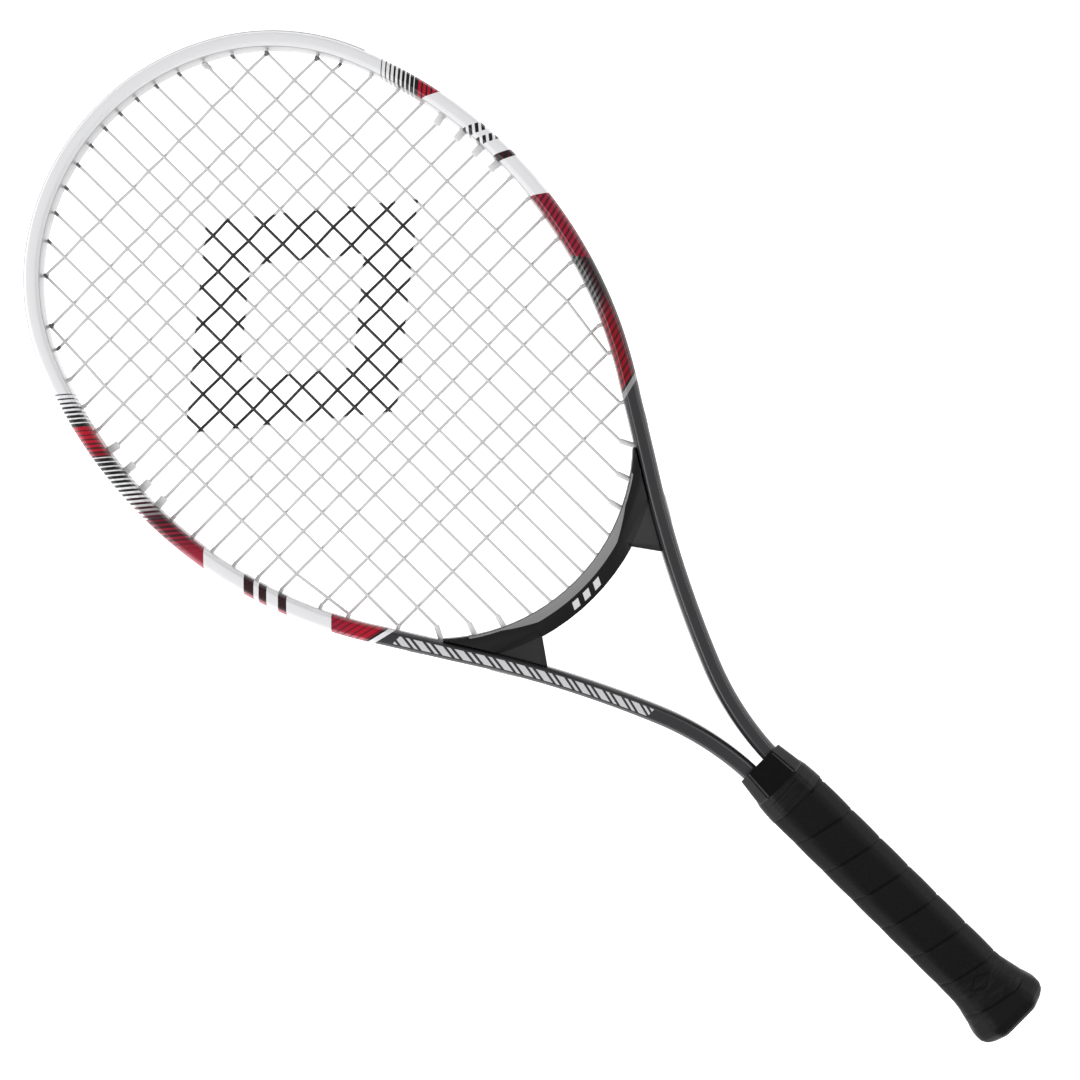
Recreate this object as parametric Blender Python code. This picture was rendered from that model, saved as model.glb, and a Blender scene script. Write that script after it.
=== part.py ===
"""Tennis racket: a bent aluminium tube with a moulded throat bridge, a woven string bed and a wrapped handle.

The racket lies flat: +X across the head, +Y to the head's tip, +Z out of the front face. The origin is
under the middle of the racket, on the surface that it lies on. Lengths are in metres.
"""

from math import cos, pi, radians, sin, sqrt

import bmesh
import bpy
from mathutils import Vector

# Overall sizes
LENGTH = 0.6984
GAP = 0.0003                       # clearance between pieces that touch
SNAP = 0.02                        # a point of a rail this part of a chord away counts as met
TIP_Y = LENGTH / 2
BUTT_Y = -LENGTH / 2
BUTT_HALF_WIDTH = 0.0224
BUTT_HALF_HEIGHT = 0.0195
MID_Z = BUTT_HALF_HEIGHT           # the plane of the string bed

# Frame tube: an extrusion with a string groove along its outer side
# Offsets are measured from the outer cheek, outwards, and shrink with the taper towards the head.
TUBE_WIDTH = 0.0095
TUBE_HALF_DEPTH = 0.00925
TUBE_BEVEL = 0.0019                # width of the bevels beside the flat front face
TUBE_CHEEK = 0.0063                # half height of the flat sides
TUBE_WALL = 0.0009
GROOVE_HALF = 0.0026
GROOVE_FLOOR = -0.0024
HEAD_TAPER = 0.15                  # part of its width that the tube loses from the shafts to the tip
TAPER_FROM_Y = 0.130
TAPER_LENGTH = 0.215
BUMPER_PROUD = 0.0009

# The tube's outer edge, from the tip down one side: radius, turn in degrees, number of chords.
# A negative radius turns the other way, and a radius of None is a straight of that length.
OUTER_EDGE = (
    (0.1365, 33.6, 7),
    (0.1210, 33.6, 7),
    (0.2495, 54.8, 12),
    (None, 0.0575, 1),
    (-0.6170, 9.6, 3),
    (-0.1610, 22.4, 6),
)
LEG_END_Y = -0.235

# Throat bridge: arcs about one centre on the axis
BRIDGE_CENTRE = Vector((0.0, 0.0931))
BRIDGE_HEAD_RADIUS = 0.1060
BRIDGE_THROAT_RADIUS = 0.1193
BRIDGE_HALF_DEPTH = 0.0089
BRIDGE_CHAMFER = 0.0054
BRIDGE_CHAMFER_END = 0.0016
CHAMFER_FADE_X = 0.030             # the chamfer narrows from here on,
CHAMFER_FADE_LENGTH = 0.016        # over this much of the width
BRIDGE_SWEEP = 48                  # degrees of arc on each side, past both wings
BRIDGE_BLANK_RADIUS = 0.150        # outer radius of the arc before it is trimmed
BRIDGE_BLANK_X = 0.030
BRIDGE_BLANK_Y = 0.060
BRIDGE_CORNER_X = 0.0345           # where the throat edge turns down to the shaft
BRIDGE_FOOT = Vector((0.0412, -0.0345))
BRIDGE_TIP_Y = 0.0150
BRIDGE_GROOVE_MARGIN = 0.12        # the groove stops this part of a chord from the throat edge's ends
BRIDGE_STRIP_MARGIN = 0.25         # and its strip stops this part of a chord from them
GUSSET_SINK = 0.0022
GUSSET_OUTLINE = (
    (0.0600, -0.0085), (0.0332, -0.0168), (0.0330, -0.0260), (0.0420, -0.0420), (0.0640, -0.0250),
)

# Strings
STRING_RADIUS = 0.00065
STRING_LIFT = 0.0008               # mains run above the middle plane and crosses below it
STRING_LINE = -0.0003              # offset of the loops that lie in the frame's groove
MAINS_X = (0.0057, 0.0176, 0.0299, 0.0432, 0.0567, 0.0702, 0.0846, 0.1042)
CROSSES_Y = (0.3085, 0.2890, 0.2732, 0.2568, 0.2412, 0.2270, 0.2137, 0.2002, 0.1877, 0.1755,
             0.1650, 0.1504, 0.1375, 0.1239, 0.1099, 0.0964, 0.0752, 0.0589, 0.0359)
BRIDGE_MAINS = 3                   # mains on each side that end in the middle of the bridge
TILTED_MAINS = (3, 4, 5)           # mains that pass through a wing of the bridge and the shaft
SHARED_TOP = {6: 0, 7: 1}          # mains that share their upper hole with a cross
SHARED_LOW = {6: 18, 7: 17}        # mains that share their lower hole with a cross
OUTER_TOP_X = 0.1018               # the outermost main bows out between its two ends
OUTER_LOW_X = 0.0987
OUTER_BOW = ((0.1042, 0.2412), (0.1035, 0.0964))
SLEEVED_CROSSES = (6, 7, 8, 9)

# Grommet strips: a channel in the groove, with barrels through the tube
STRIP_BASE = -0.0021
STRIP_FLOOR = -0.0014
STRIP_RIM = -0.0001
STRIP_HALF = 0.0023
STRIP_INNER_HALF = 0.00175
BUMPER_LIP = 0.0058
BUMPER_END_Y = 0.2665
STRIP_FOOT_Y = -0.0370
BORE = 0.00095                     # flat-to-centre sizes of the barrels and their holes
BARREL = 0.00135
HOLE = 0.00165
SHARED_BORE = 0.0017
SHARED_BARREL = 0.0021
SHARED_HOLE = 0.0024
STUB = 0.0015                      # how far a barrel stands out of the inner wall
BEND = 0.0007                      # a string turns this far from its barrel's end
LONG_BARREL = 0.0060
CUT_BACK = 0.002                   # cutters start this far behind the bend,
HOLE_PAST = 0.004                  # and run this far past the groove
BORE_PAST = 0.0035
CUT_HALF_DEPTH = 0.02              # flat cutters reach this far from the middle plane
STRIP_NIB = 0.03                   # clear space between two strips, as a part of one chord

SLEEVE_RADIUS = 0.0021
SLEEVE_LENGTH = 0.0055

# Handle: eight-sided rings, as (y, half width, half height)
TOP_FACET = 0.552
SIDE_FACET = 0.425
SHELL_RINGS = (
    (-0.1505, 0.0142, 0.0122), (-0.1666, 0.0161, 0.0137), (-0.1667, 0.0153, 0.0132),
    (-0.3030, 0.0153, 0.0132), (-0.3031, 0.0135, 0.0114), (-0.3430, 0.0135, 0.0114),
)
POCKET_TOP_Y = -0.135              # the leg pockets are cut from above the shells' top,
RAY_X = 0.05                       # looked for from this far out
CAVITY_RINGS = ((-0.2385, 0.0117, 0.0096), (-0.3500, 0.0117, 0.0096))
CAP_RINGS = (
    (-0.3034, 0.0153, 0.0132), (-0.3180, 0.0153, 0.0132), (-0.3225, 0.0161, 0.0139),
    (-0.3270, 0.0173, 0.0150), (-0.3312, 0.0184, 0.0160), (-0.3316, 0.0203, 0.0178),
    (-0.3345, 0.0214, 0.0187), (-0.3380, BUTT_HALF_WIDTH, BUTT_HALF_HEIGHT), (-0.3415, 0.0223, 0.0194),
    (-0.3450, 0.0210, 0.0183), (-0.3478, 0.0184, 0.0160), (BUTT_Y, 0.0140, 0.0121),
)
CAP_BORE_RINGS = ((-0.3000, 0.0138, 0.0117), (-0.3462, 0.0138, 0.0117))
GRIP_TOP_Y = -0.1803
GRIP_RINGS = (
    (GRIP_TOP_Y, 0.0174, 0.0153), (-0.3130, 0.0174, 0.0153), (-0.3180, 0.0176, 0.0155),
    (-0.3225, 0.0184, 0.0162), (-0.3270, 0.0194, 0.0171), (-0.3309, 0.0203, 0.0179),
)
GRIP_BORE_RINGS = (
    (-0.1700, 0.0156, 0.0135), (-0.3178, 0.0156, 0.0135), (-0.3225, 0.0164, 0.0142),
    (-0.3270, 0.0176, 0.0153), (-0.3330, 0.0192, 0.0168),
)
TAPE_RINGS = (
    (-0.1670, 0.0163, 0.0140), (-0.1700, 0.0170, 0.0147),
    (-0.1760, 0.0175, 0.0153), (-0.1800, 0.0177, 0.0155),
)
TAPE_BORE_RINGS = ((-0.1600, 0.0156, 0.0135), (-0.1900, 0.0156, 0.0135))

# Finishes: colour, roughness, metallic
PAINT = ((0.86, 0.86, 0.89), 0.28, 0.0)
BRIDGE_PLASTIC = ((0.045, 0.045, 0.048), 0.38, 0.0)
CLEAR_NYLON = ((0.75, 0.76, 0.75), 0.35, 0.0)
STRING_NYLON = ((0.80, 0.80, 0.79), 0.32, 0.0)
SHELL_PLASTIC = ((0.018, 0.018, 0.020), 0.12, 0.0)
TAPE_VINYL = ((0.060, 0.060, 0.062), 0.40, 0.0)
GRIP_LEATHER = ((0.030, 0.030, 0.031), 0.62, 0.0)
CAP_RUBBER = ((0.040, 0.040, 0.042), 0.55, 0.0)


class Rail:
    """A flat line that shapes are swept along. Positions on it are point index plus fraction."""

    def __init__(self, points, taper=None):
        self.points = points
        self.taper = taper or [1.0] * len(points)
        self.normals = [left_of(b - a) for a, b in zip(points, points[1:])]
        self.last = len(points) - 1

    def mitre(self, index):
        before = self.normals[max(index - 1, 0)]
        after = self.normals[min(index, self.last - 1)]
        both = before + after
        return both * (2 / both.length_squared)

    def corner(self, index, offset):
        return self.points[index] + self.mitre(index) * offset * self.taper[index]

    def place(self, position, offset):
        index = min(int(position), self.last - 1)
        return self.corner(index, offset).lerp(self.corner(index + 1, offset), position - index)

    def positions(self, first, last):
        """The two positions and every point of the rail between them, in order."""
        low, high = sorted((first, last))
        inner = [float(i) for i in range(self.last + 1) if low + SNAP < i < high - SNAP]
        row = [low, *inner, high]
        return row if first <= last else row[::-1]

    def stretch(self, first, last, offset):
        return [self.place(position, offset) for position in self.positions(first, last)]

    def meet(self, point, direction, offset):
        """Where a ray first crosses the line at an offset from the rail: the point and its position."""
        best = None
        for index in range(self.last):
            start = self.corner(index, offset)
            run = self.corner(index + 1, offset) - start
            det = run.x * direction.y - run.y * direction.x
            if abs(det) < 1e-12:
                continue
            away = point - start
            along = (away.x * direction.y - away.y * direction.x) / det
            reach = (away.x * run.y - away.y * run.x) / det
            if 0 <= along <= 1 and reach > 0 and (best is None or reach < best[0]):
                best = (reach, point + direction * reach, index + along)
        return best[1], best[2]

    def normal_at(self, position):
        return self.normals[min(int(position), self.last - 1)]


def left_of(vector):
    return Vector((-vector.y, vector.x)).normalized()


def mirrored(points):
    return [Vector((-p.x, p.y)) for p in points]


def taper_at(y):
    part = min(max((y - TAPER_FROM_Y) / TAPER_LENGTH, 0.0), 1.0)
    return 1.0 - HEAD_TAPER * part


def tube_rail():
    """The tube's outer edge from the end of the left leg over the tip to the end of the right leg."""
    point = Vector((0.0, TIP_Y - BUMPER_PROUD * (1.0 - HEAD_TAPER)))
    heading = 0.0
    half = [point]
    for radius, amount, chords in OUTER_EDGE:
        for _ in range(chords):
            if radius is None:
                turn = 0.0
                step = amount / chords
            else:
                turn = radians(amount) / chords * (1 if radius > 0 else -1)
                step = 2 * abs(radius) * sin(abs(turn) / 2)
            middle = heading + turn / 2
            point = point + Vector((cos(middle), -sin(middle))) * step
            heading += turn
            half.append(point)
    half.append(Vector((point.x, LEG_END_Y)))
    points = mirrored(half[:0:-1]) + half
    return Rail(points, [taper_at(p.y) for p in points])


def arc(radius, first, last, steps):
    """Points about the bridge's centre. Angles are measured from straight down towards +X."""
    angles = [first + (last - first) * i / steps for i in range(steps + 1)]
    return [BRIDGE_CENTRE + Vector((sin(a), -cos(a))) * radius for a in angles]


def lift(point, z=0.0):
    return Vector((point.x, point.y, MID_Z + z))


def mesh_object(name, pieces, finish=None):
    """One object from a list of (points, faces), with its faces turned outwards."""
    mesh = bpy.data.meshes.new(name)
    work = bmesh.new()
    for points, faces in pieces:
        verts = [work.verts.new(p) for p in points]
        for face in faces:
            work.faces.new([verts[i] for i in face])
    bmesh.ops.recalc_face_normals(work, faces=work.faces)
    work.to_mesh(mesh)
    work.free()
    thing = bpy.data.objects.new(name, mesh)
    bpy.context.scene.collection.objects.link(thing)
    if finish is None:
        thing.hide_render = True
        thing.display_type = "WIRE"
    else:
        mesh.materials.append(material(name, *finish))
        mesh.shade_smooth()
        mesh.set_sharp_from_angle(angle=radians(28))
    return thing


def material(name, colour, roughness, metallic):
    finish = bpy.data.materials.new(name + "_finish")
    finish.use_nodes = True
    shader = finish.node_tree.nodes["Principled BSDF"]
    shader.inputs["Base Color"].default_value = (*colour, 1.0)
    shader.inputs["Roughness"].default_value = roughness
    shader.inputs["Metallic"].default_value = metallic
    return finish


def loft(rings, holes=None):
    """A closed solid through rings of points, or a pipe when each ring has an inner ring too."""
    count = len(rings[0])
    points = [p for ring in rings for p in ring]
    faces = ring_walls(len(rings), count, 0)
    if holes is None:
        faces.append(list(range(count)))
        faces.append([len(points) - count + i for i in range(count)])
        return points, faces
    inner = len(points)
    points += [p for ring in holes for p in ring]
    faces += ring_walls(len(rings), count, inner)
    for end in (0, (len(rings) - 1) * count):
        for i in range(count):
            j = (i + 1) % count
            faces.append([end + i, end + j, inner + end + j, inner + end + i])
    return points, faces


def ring_walls(rings, count, start):
    faces = []
    for ring in range(rings - 1):
        for i in range(count):
            j = (i + 1) % count
            low = start + ring * count
            faces.append([low + i, low + j, low + count + j, low + count + i])
    return faces


def sweep(rail, profile, first=0.0, last=None, bore=None):
    """A profile of (offset, height) points carried along a rail."""
    stops = rail.positions(first, rail.last if last is None else last)
    rings = [[lift(rail.place(s, u), w) for u, w in profile] for s in stops]
    holes = bore and [[lift(rail.place(s, u), w) for u, w in bore] for s in stops]
    return loft(rings, holes)


def rod(start, end, flat, z, sides=6):
    """A straight prism between two flat points; flat is the distance from its axis to its upper side."""
    across = left_of(end - start)
    radius = flat / cos(pi / sides)
    rings = []
    for point in (start, end):
        ring = []
        for i in range(sides):
            angle = 2 * pi * i / sides
            ring.append(lift(point + across * (radius * cos(angle)), z + radius * sin(angle)))
        rings.append(ring)
    return loft(rings)


def octagon(y, half_width, half_height):
    facet = half_width * TOP_FACET
    side = half_height * SIDE_FACET
    quarter = ((half_width, side), (facet, half_height))
    corners = quarter + tuple((-x, z) for x, z in quarter[::-1])
    corners += tuple((-x, -z) for x, z in corners)
    return [lift(Vector((x, y)), z) for x, z in corners]


def half_octagon(y, half_width, half_height, sign):
    facet = half_width * TOP_FACET
    side = half_height * SIDE_FACET
    corners = ((half_width, GAP / 2), (half_width, side), (facet, half_height))
    corners += tuple((-x, z) for x, z in corners[::-1])
    return [lift(Vector((x, y)), z * sign) for x, z in corners]


def combine(target, other, operation):
    step = target.modifiers.new(operation.lower() + "_" + other.name, "BOOLEAN")
    step.operation = operation
    step.solver = "EXACT"
    step.object = other


def tube_profile(grow=0.0):
    """Upper half of the tube's outline without its groove, from the outer cheek to the inner one."""
    depth = TUBE_HALF_DEPTH + grow
    cheek = TUBE_CHEEK + grow * 0.35
    outer = grow
    inner = -TUBE_WIDTH - grow
    bevel = TUBE_BEVEL + grow * 0.5
    return [(outer, cheek), (outer - bevel, depth), (inner + bevel, depth), (inner, cheek)]


def closed_profile(upper):
    return upper + [(u, -w) for u, w in upper[::-1]]


def grooved_profile(grow, groove):
    """The tube's whole outline with the groove in its outer cheek."""
    return closed_profile([(GROOVE_FLOOR + grow, groove), (grow, groove)] + tube_profile(grow))


class Port:
    """One place where a string passes through the frame: its inner end, axis and outer end."""

    def __init__(self, rail, bend, axis, line, z, kind="plain"):
        self.rail = rail
        self.bend = bend
        self.axis = axis
        self.line = line
        self.z = z
        self.kind = kind
        self.exit, self.position = rail.meet(bend, axis, line)

    def point(self, distance):
        """A point on the axis, measured outwards from the bend."""
        return self.bend + self.axis * distance

    def reach(self, offset):
        return self.rail.meet(self.bend, self.axis, offset)[0]


def frame_port(rail, inside, direction, z, kind="plain"):
    """The port where a straight string from a point in the head meets the frame squarely."""
    stand_out = SLEEVE_LENGTH if kind == "sleeved" else STUB
    bend, position = rail.meet(inside, direction, -TUBE_WIDTH - stand_out - BEND)
    return Port(rail, bend, rail.normal_at(position), STRING_LINE, z, kind)


def main_ports(rail, bridge_rail, side):
    """Upper and lower ports of the mains on one side, from the middle outwards."""
    ports = []
    for index, x in enumerate(MAINS_X):
        outermost = index == len(MAINS_X) - 1
        inside = Vector((side * (OUTER_TOP_X if outermost else x), CROSSES_Y[9]))
        kind = "shared" if index in SHARED_TOP else "plain"
        top = frame_port(rail, inside, Vector((0, 1)), STRING_LIFT, kind)
        if index < BRIDGE_MAINS:
            bend = Vector((side * x, BRIDGE_CENTRE.y - sqrt((BRIDGE_HEAD_RADIUS - STUB - BEND) ** 2 - x * x)))
            low = Port(bridge_rail, bend, Vector((0, -1)), STRING_LINE, STRING_LIFT)
        elif index in TILTED_MAINS:
            radius = BRIDGE_HEAD_RADIUS - LONG_BARREL - BEND
            bend = Vector((side * x, BRIDGE_CENTRE.y - sqrt(radius * radius - x * x)))
            low = Port(rail, bend, (bend - BRIDGE_CENTRE).normalized(), STRING_LINE, STRING_LIFT, "long")
        else:
            inside = Vector((side * (OUTER_LOW_X if outermost else x), CROSSES_Y[9]))
            low = frame_port(rail, inside, Vector((0, -1)), STRING_LIFT, "shared")
        ports.append((top, low))
    return ports


def cross_ports(rail, mains, side):
    """Ports of the crosses on one side, from the head down."""
    shared = {cross: mains[main][0] for main, cross in SHARED_TOP.items()}
    shared.update({cross: mains[main][1] for main, cross in SHARED_LOW.items()})
    ports = []
    for index, y in enumerate(CROSSES_Y):
        if index in shared:
            other = shared[index]
            ports.append(Port(rail, other.bend, other.axis, STRING_LINE, -STRING_LIFT, "guest"))
            continue
        kind = "sleeved" if index in SLEEVED_CROSSES else "plain"
        ports.append(frame_port(rail, Vector((0.0, y)), Vector((side, 0)), -STRING_LIFT, kind))
    return ports


def join_ports(path, first, second):
    """Add the loop that lies in the groove between two ports."""
    path += first.rail.stretch(first.position, second.position, first.line)


def eased(points):
    """Replace each turn of more than a right angle by two smaller ones."""
    out = [points[0]]
    for before, here, after in zip(points, points[1:], points[2:]):
        back = (before - here).normalized()
        on = (after - here).normalized()
        if back.dot(on) > 0.25:
            out += [here + back * STRING_RADIUS, here + on * STRING_RADIUS]
        else:
            out.append(here)
    return out + [points[-1]]


def main_path(left, right):
    """The main string from its knot by the lower left of the head to the one at the lower right."""
    path = []
    for ports in (left[::-1], right):
        for index, (top, low) in enumerate(ports):
            rising = index % 2 == 0
            start, end = (low, top) if rising else (top, low)
            if path:
                join_ports(path, previous, start)
            else:
                path.append(start.exit)
            outermost = top is left[-1][0] or top is right[-1][0]
            bow = [Vector((x if top.bend.x > 0 else -x, y)) for x, y in OUTER_BOW] if outermost else []
            path += [start.bend, *(bow[::-1] if rising else bow), end.bend]
            previous = end
    path.append(previous.exit)
    return eased(path)


def cross_path(left, right, knot_position):
    """The cross string from the groove near its upper knot, side to side down the head."""
    first = right[0]
    path = first.rail.stretch(knot_position, first.position, first.line)
    previous = None
    for index in range(len(CROSSES_Y)):
        start, end = (right[index], left[index]) if index % 2 == 0 else (left[index], right[index])
        if previous is not None:
            join_ports(path, previous, start)
        path += [start.bend, end.bend]
        previous = end
    path.append(previous.exit)
    return eased(path)


def string_solid(path, z):
    ring = [(STRING_RADIUS * cos(pi * i / 3), z + STRING_RADIUS * sin(pi * i / 3)) for i in range(6)]
    return sweep(Rail(path), ring)


def sizes_of(port):
    if port.kind == "shared":
        return SHARED_BORE, SHARED_BARREL, SHARED_HOLE, 0.0
    return BORE, BARREL, HOLE, port.z


def drill(ports):
    """Straight cutters for the barrels' holes."""
    cutters = []
    for port in ports:
        _, _, hole, z = sizes_of(port)
        cutters.append(rod(port.point(-CUT_BACK), port.exit + port.axis * HOLE_PAST, hole, z))
    return cutters


def bores(ports):
    cutters = []
    for port in ports:
        bore, _, _, z = sizes_of(port)
        cutters.append(rod(port.point(-CUT_BACK), port.exit + port.axis * BORE_PAST, bore, z))
    return cutters


def barrels(ports):
    """Barrels of a strip, from just under the strip's outer face to their ends inside the head."""
    made = []
    for port in ports:
        _, barrel, _, z = sizes_of(port)
        tilt = abs(port.rail.normal_at(port.position).cross(port.axis))
        foot = port.reach(STRIP_FLOOR - 0.0001 - tilt * barrel * 1.2)
        tip = port.reach(-TUBE_WIDTH + GAP) if port.kind == "sleeved" else port.point(BEND)
        made.append(rod(foot, tip, barrel, z))
    return made


def make_frame_tube(rail, ports):
    outer = grooved_profile(0.0, GROOVE_HALF)
    bore = grooved_profile(-TUBE_WALL, GROOVE_HALF + TUBE_WALL)
    tube = mesh_object("frame_tube", [sweep(rail, outer, bore=bore)], PAINT)
    combine(tube, mesh_object("frame_holes", drill(ports)), "DIFFERENCE")


def channel_profile(rim, lip=None):
    upper = [(STRIP_FLOOR, STRIP_INNER_HALF), (rim, STRIP_INNER_HALF)]
    if lip:
        upper += [(rim, lip), (GAP, lip), (GAP, STRIP_HALF)]
    else:
        upper += [(rim, STRIP_HALF)]
    return closed_profile(upper + [(STRIP_BASE, STRIP_HALF)])


def make_strip(name, rail, profile, span, ports):
    strip = mesh_object(name, [sweep(rail, profile, *span)], CLEAR_NYLON)
    combine(strip, mesh_object(name + "_barrels", barrels(ports)), "UNION")
    combine(strip, mesh_object(name + "_bores", bores(ports)), "DIFFERENCE")


def chamfer_at(x):
    fade = min(max((abs(x) - CHAMFER_FADE_X) / CHAMFER_FADE_LENGTH, 0.0), 1.0)
    return BRIDGE_CHAMFER + (BRIDGE_CHAMFER_END - BRIDGE_CHAMFER) * fade


def bridge_body():
    """A thick arc with a chamfer along its head side, wider than the finished bridge."""
    steps = 26
    half_angle = radians(BRIDGE_SWEEP)
    rings = []
    for i in range(steps + 1):
        angle = -half_angle + 2 * half_angle * i / steps
        way = Vector((sin(angle), -cos(angle)))
        chamfer = chamfer_at(BRIDGE_HEAD_RADIUS * sin(angle))
        wall = BRIDGE_HALF_DEPTH - chamfer
        section = ((BRIDGE_HEAD_RADIUS, wall), (BRIDGE_HEAD_RADIUS + chamfer, BRIDGE_HALF_DEPTH),
                   (BRIDGE_BLANK_RADIUS, BRIDGE_HALF_DEPTH))
        section += tuple((r, -w) for r, w in section[::-1])
        rings.append([lift(BRIDGE_CENTRE + way * r, w) for r, w in section])
    return loft(rings)


def plate(outline, low, high):
    return loft([[lift(p, z) for p in outline] for z in (low, high)])


def bridge_outline(rail, edge):
    """The bridge from above: along the shafts, over the tips of the wings and along the throat edge."""
    offset = -TUBE_WIDTH - GAP
    _, foot = rail.meet(BRIDGE_FOOT, Vector((1, 0)), offset)
    _, tip = rail.meet(Vector((0.0, BRIDGE_TIP_Y)), Vector((1, 0)), offset)
    right = rail.stretch(tip, foot, offset)
    return right + edge + mirrored(right[::-1])


def make_bridge(rail, edge, rail_ports, bridge_ports):
    body = mesh_object("throat_bridge", [bridge_body()], BRIDGE_PLASTIC)
    above = [Vector((x, BRIDGE_BLANK_Y)) for x in (-BRIDGE_BLANK_X, BRIDGE_BLANK_X)]
    outline = bridge_outline(rail, edge.points) + above
    trim = plate(outline, -CUT_HALF_DEPTH, CUT_HALF_DEPTH)
    combine(body, mesh_object("bridge_outline", [trim]), "INTERSECT")
    groove = closed_profile([(HOLE_PAST, GROOVE_HALF), (GROOVE_FLOOR, GROOVE_HALF)])
    margin = BRIDGE_GROOVE_MARGIN
    cutter = mesh_object("bridge_groove", [sweep(edge, groove, margin, edge.last - margin)])
    combine(body, cutter, "DIFFERENCE")
    sunk = []
    for side in (-1, 1):
        for face in (-1, 1):
            outline = [Vector((side * x, y)) for x, y in GUSSET_OUTLINE]
            sunk.append(plate(outline, face * (BRIDGE_HALF_DEPTH - GUSSET_SINK), face * CUT_HALF_DEPTH))
    combine(body, mesh_object("bridge_gussets", sunk), "DIFFERENCE")
    combine(body, mesh_object("bridge_holes", drill(rail_ports + bridge_ports)), "DIFFERENCE")


def make_sleeves(name, ports):
    for number, port in enumerate(ports, 1):
        inner = port.reach(-TUBE_WIDTH - GAP)
        tip = inner - port.axis * SLEEVE_LENGTH
        rings = [rod(inner, tip, flat, port.z, sides=8) for flat in (SLEEVE_RADIUS, BORE)]
        outer, bore = ([points[:8], points[8:]] for points, _ in rings)
        mesh_object(f"{name}_{number}", [loft(outer, bore)], CLEAR_NYLON)


def make_handle(rail):
    """Two moulded shells around the legs of the tube, parted at the middle plane."""
    legs = []
    grown = closed_profile(tube_profile(GAP))
    _, left_top = rail.meet(Vector((-RAY_X, POCKET_TOP_Y)), Vector((1, 0)), 0.0)
    _, right_top = rail.meet(Vector((RAY_X, POCKET_TOP_Y)), Vector((-1, 0)), 0.0)
    for first, last in ((0.0, left_top), (right_top, float(rail.last))):
        legs.append(sweep(rail, grown, first, last))
    leg_cutter = mesh_object("leg_pockets", legs)
    cavity = mesh_object("handle_cavity", [loft([octagon(*ring) for ring in CAVITY_RINGS])])
    for name, sign in (("handle_shell_front", 1), ("handle_shell_back", -1)):
        shell = mesh_object(name, [loft([half_octagon(*ring, sign) for ring in SHELL_RINGS])], SHELL_PLASTIC)
        combine(shell, leg_cutter, "DIFFERENCE")
        combine(shell, cavity, "DIFFERENCE")


def make_sleeve_piece(name, rings, bore_rings, finish):
    """A piece that fits round the handle, with its bore cut by a second loft."""
    piece = mesh_object(name, [loft([octagon(*ring) for ring in rings])], finish)
    combine(piece, mesh_object(name + "_bore", [loft([octagon(*ring) for ring in bore_rings])]), "DIFFERENCE")


def clear_scene():
    for thing in list(bpy.data.objects):
        bpy.data.objects.remove(thing, do_unlink=True)


def main():
    clear_scene()
    rail = tube_rail()
    corner = BRIDGE_CORNER_X / BRIDGE_THROAT_RADIUS
    edge_points = arc(BRIDGE_THROAT_RADIUS, corner, -corner, 8)
    edge = Rail(edge_points)
    left = main_ports(rail, edge, -1)
    right = main_ports(rail, edge, 1)
    left_crosses = cross_ports(rail, left, -1)
    right_crosses = cross_ports(rail, right, 1)

    mains = left + right
    bridge_ports = [low for _, low in mains if low.rail is edge]
    frame_ports = [top for top, _ in mains] + [low for _, low in mains if low.rail is rail]
    frame_ports += [port for port in left_crosses + right_crosses if port.kind != "guest"]
    tilted = [port for port in frame_ports if port.kind == "long"]

    make_frame_tube(rail, frame_ports)
    make_bridge(rail, edge, tilted, bridge_ports)

    _, bumper_first = rail.meet(Vector((0.0, BUMPER_END_Y)), Vector((-1, 0)), 0.0)
    _, bumper_last = rail.meet(Vector((0.0, BUMPER_END_Y)), Vector((1, 0)), 0.0)
    _, foot_left = rail.meet(Vector((0.0, STRIP_FOOT_Y)), Vector((-1, 0)), 0.0)
    _, foot_right = rail.meet(Vector((0.0, STRIP_FOOT_Y)), Vector((1, 0)), 0.0)
    in_bumper = [p for p in frame_ports if bumper_first < p.position < bumper_last]
    bumper = channel_profile(BUMPER_PROUD, BUMPER_LIP)
    make_strip("head_bumper_strip", rail, bumper, (bumper_first, bumper_last), in_bumper)
    spans = (("left", foot_left, bumper_first - STRIP_NIB), ("right", bumper_last + STRIP_NIB, foot_right))
    for name, first, last in spans:
        ports = [p for p in frame_ports if first < p.position < last]
        make_strip("side_grommet_strip_" + name, rail, channel_profile(STRIP_RIM), (first, last), ports)
    span = (BRIDGE_STRIP_MARGIN, edge.last - BRIDGE_STRIP_MARGIN)
    make_strip("bridge_grommet_strip", edge, channel_profile(STRIP_RIM), span, bridge_ports)

    make_sleeves("side_sleeve_left", [left_crosses[i] for i in SLEEVED_CROSSES])
    make_sleeves("side_sleeve_right", [right_crosses[i] for i in SLEEVED_CROSSES])

    knot = right[4][0].position + 0.25
    mesh_object("main_string", [string_solid(main_path(left, right), STRING_LIFT)], STRING_NYLON)
    mesh_object("cross_string", [string_solid(cross_path(left_crosses, right_crosses, knot), -STRING_LIFT)],
                STRING_NYLON)

    make_handle(rail)
    make_sleeve_piece("finishing_tape", TAPE_RINGS, TAPE_BORE_RINGS, TAPE_VINYL)
    make_sleeve_piece("grip_wrap", GRIP_RINGS, GRIP_BORE_RINGS, GRIP_LEATHER)
    make_sleeve_piece("butt_cap", CAP_RINGS, CAP_BORE_RINGS, CAP_RUBBER)


main()
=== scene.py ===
"""Looks of the tennis racket, built around its fixed frame. Lengths are in metres."""

from functools import partialmethod
from math import atan2, cos, pi, radians, sin, tau

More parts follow.
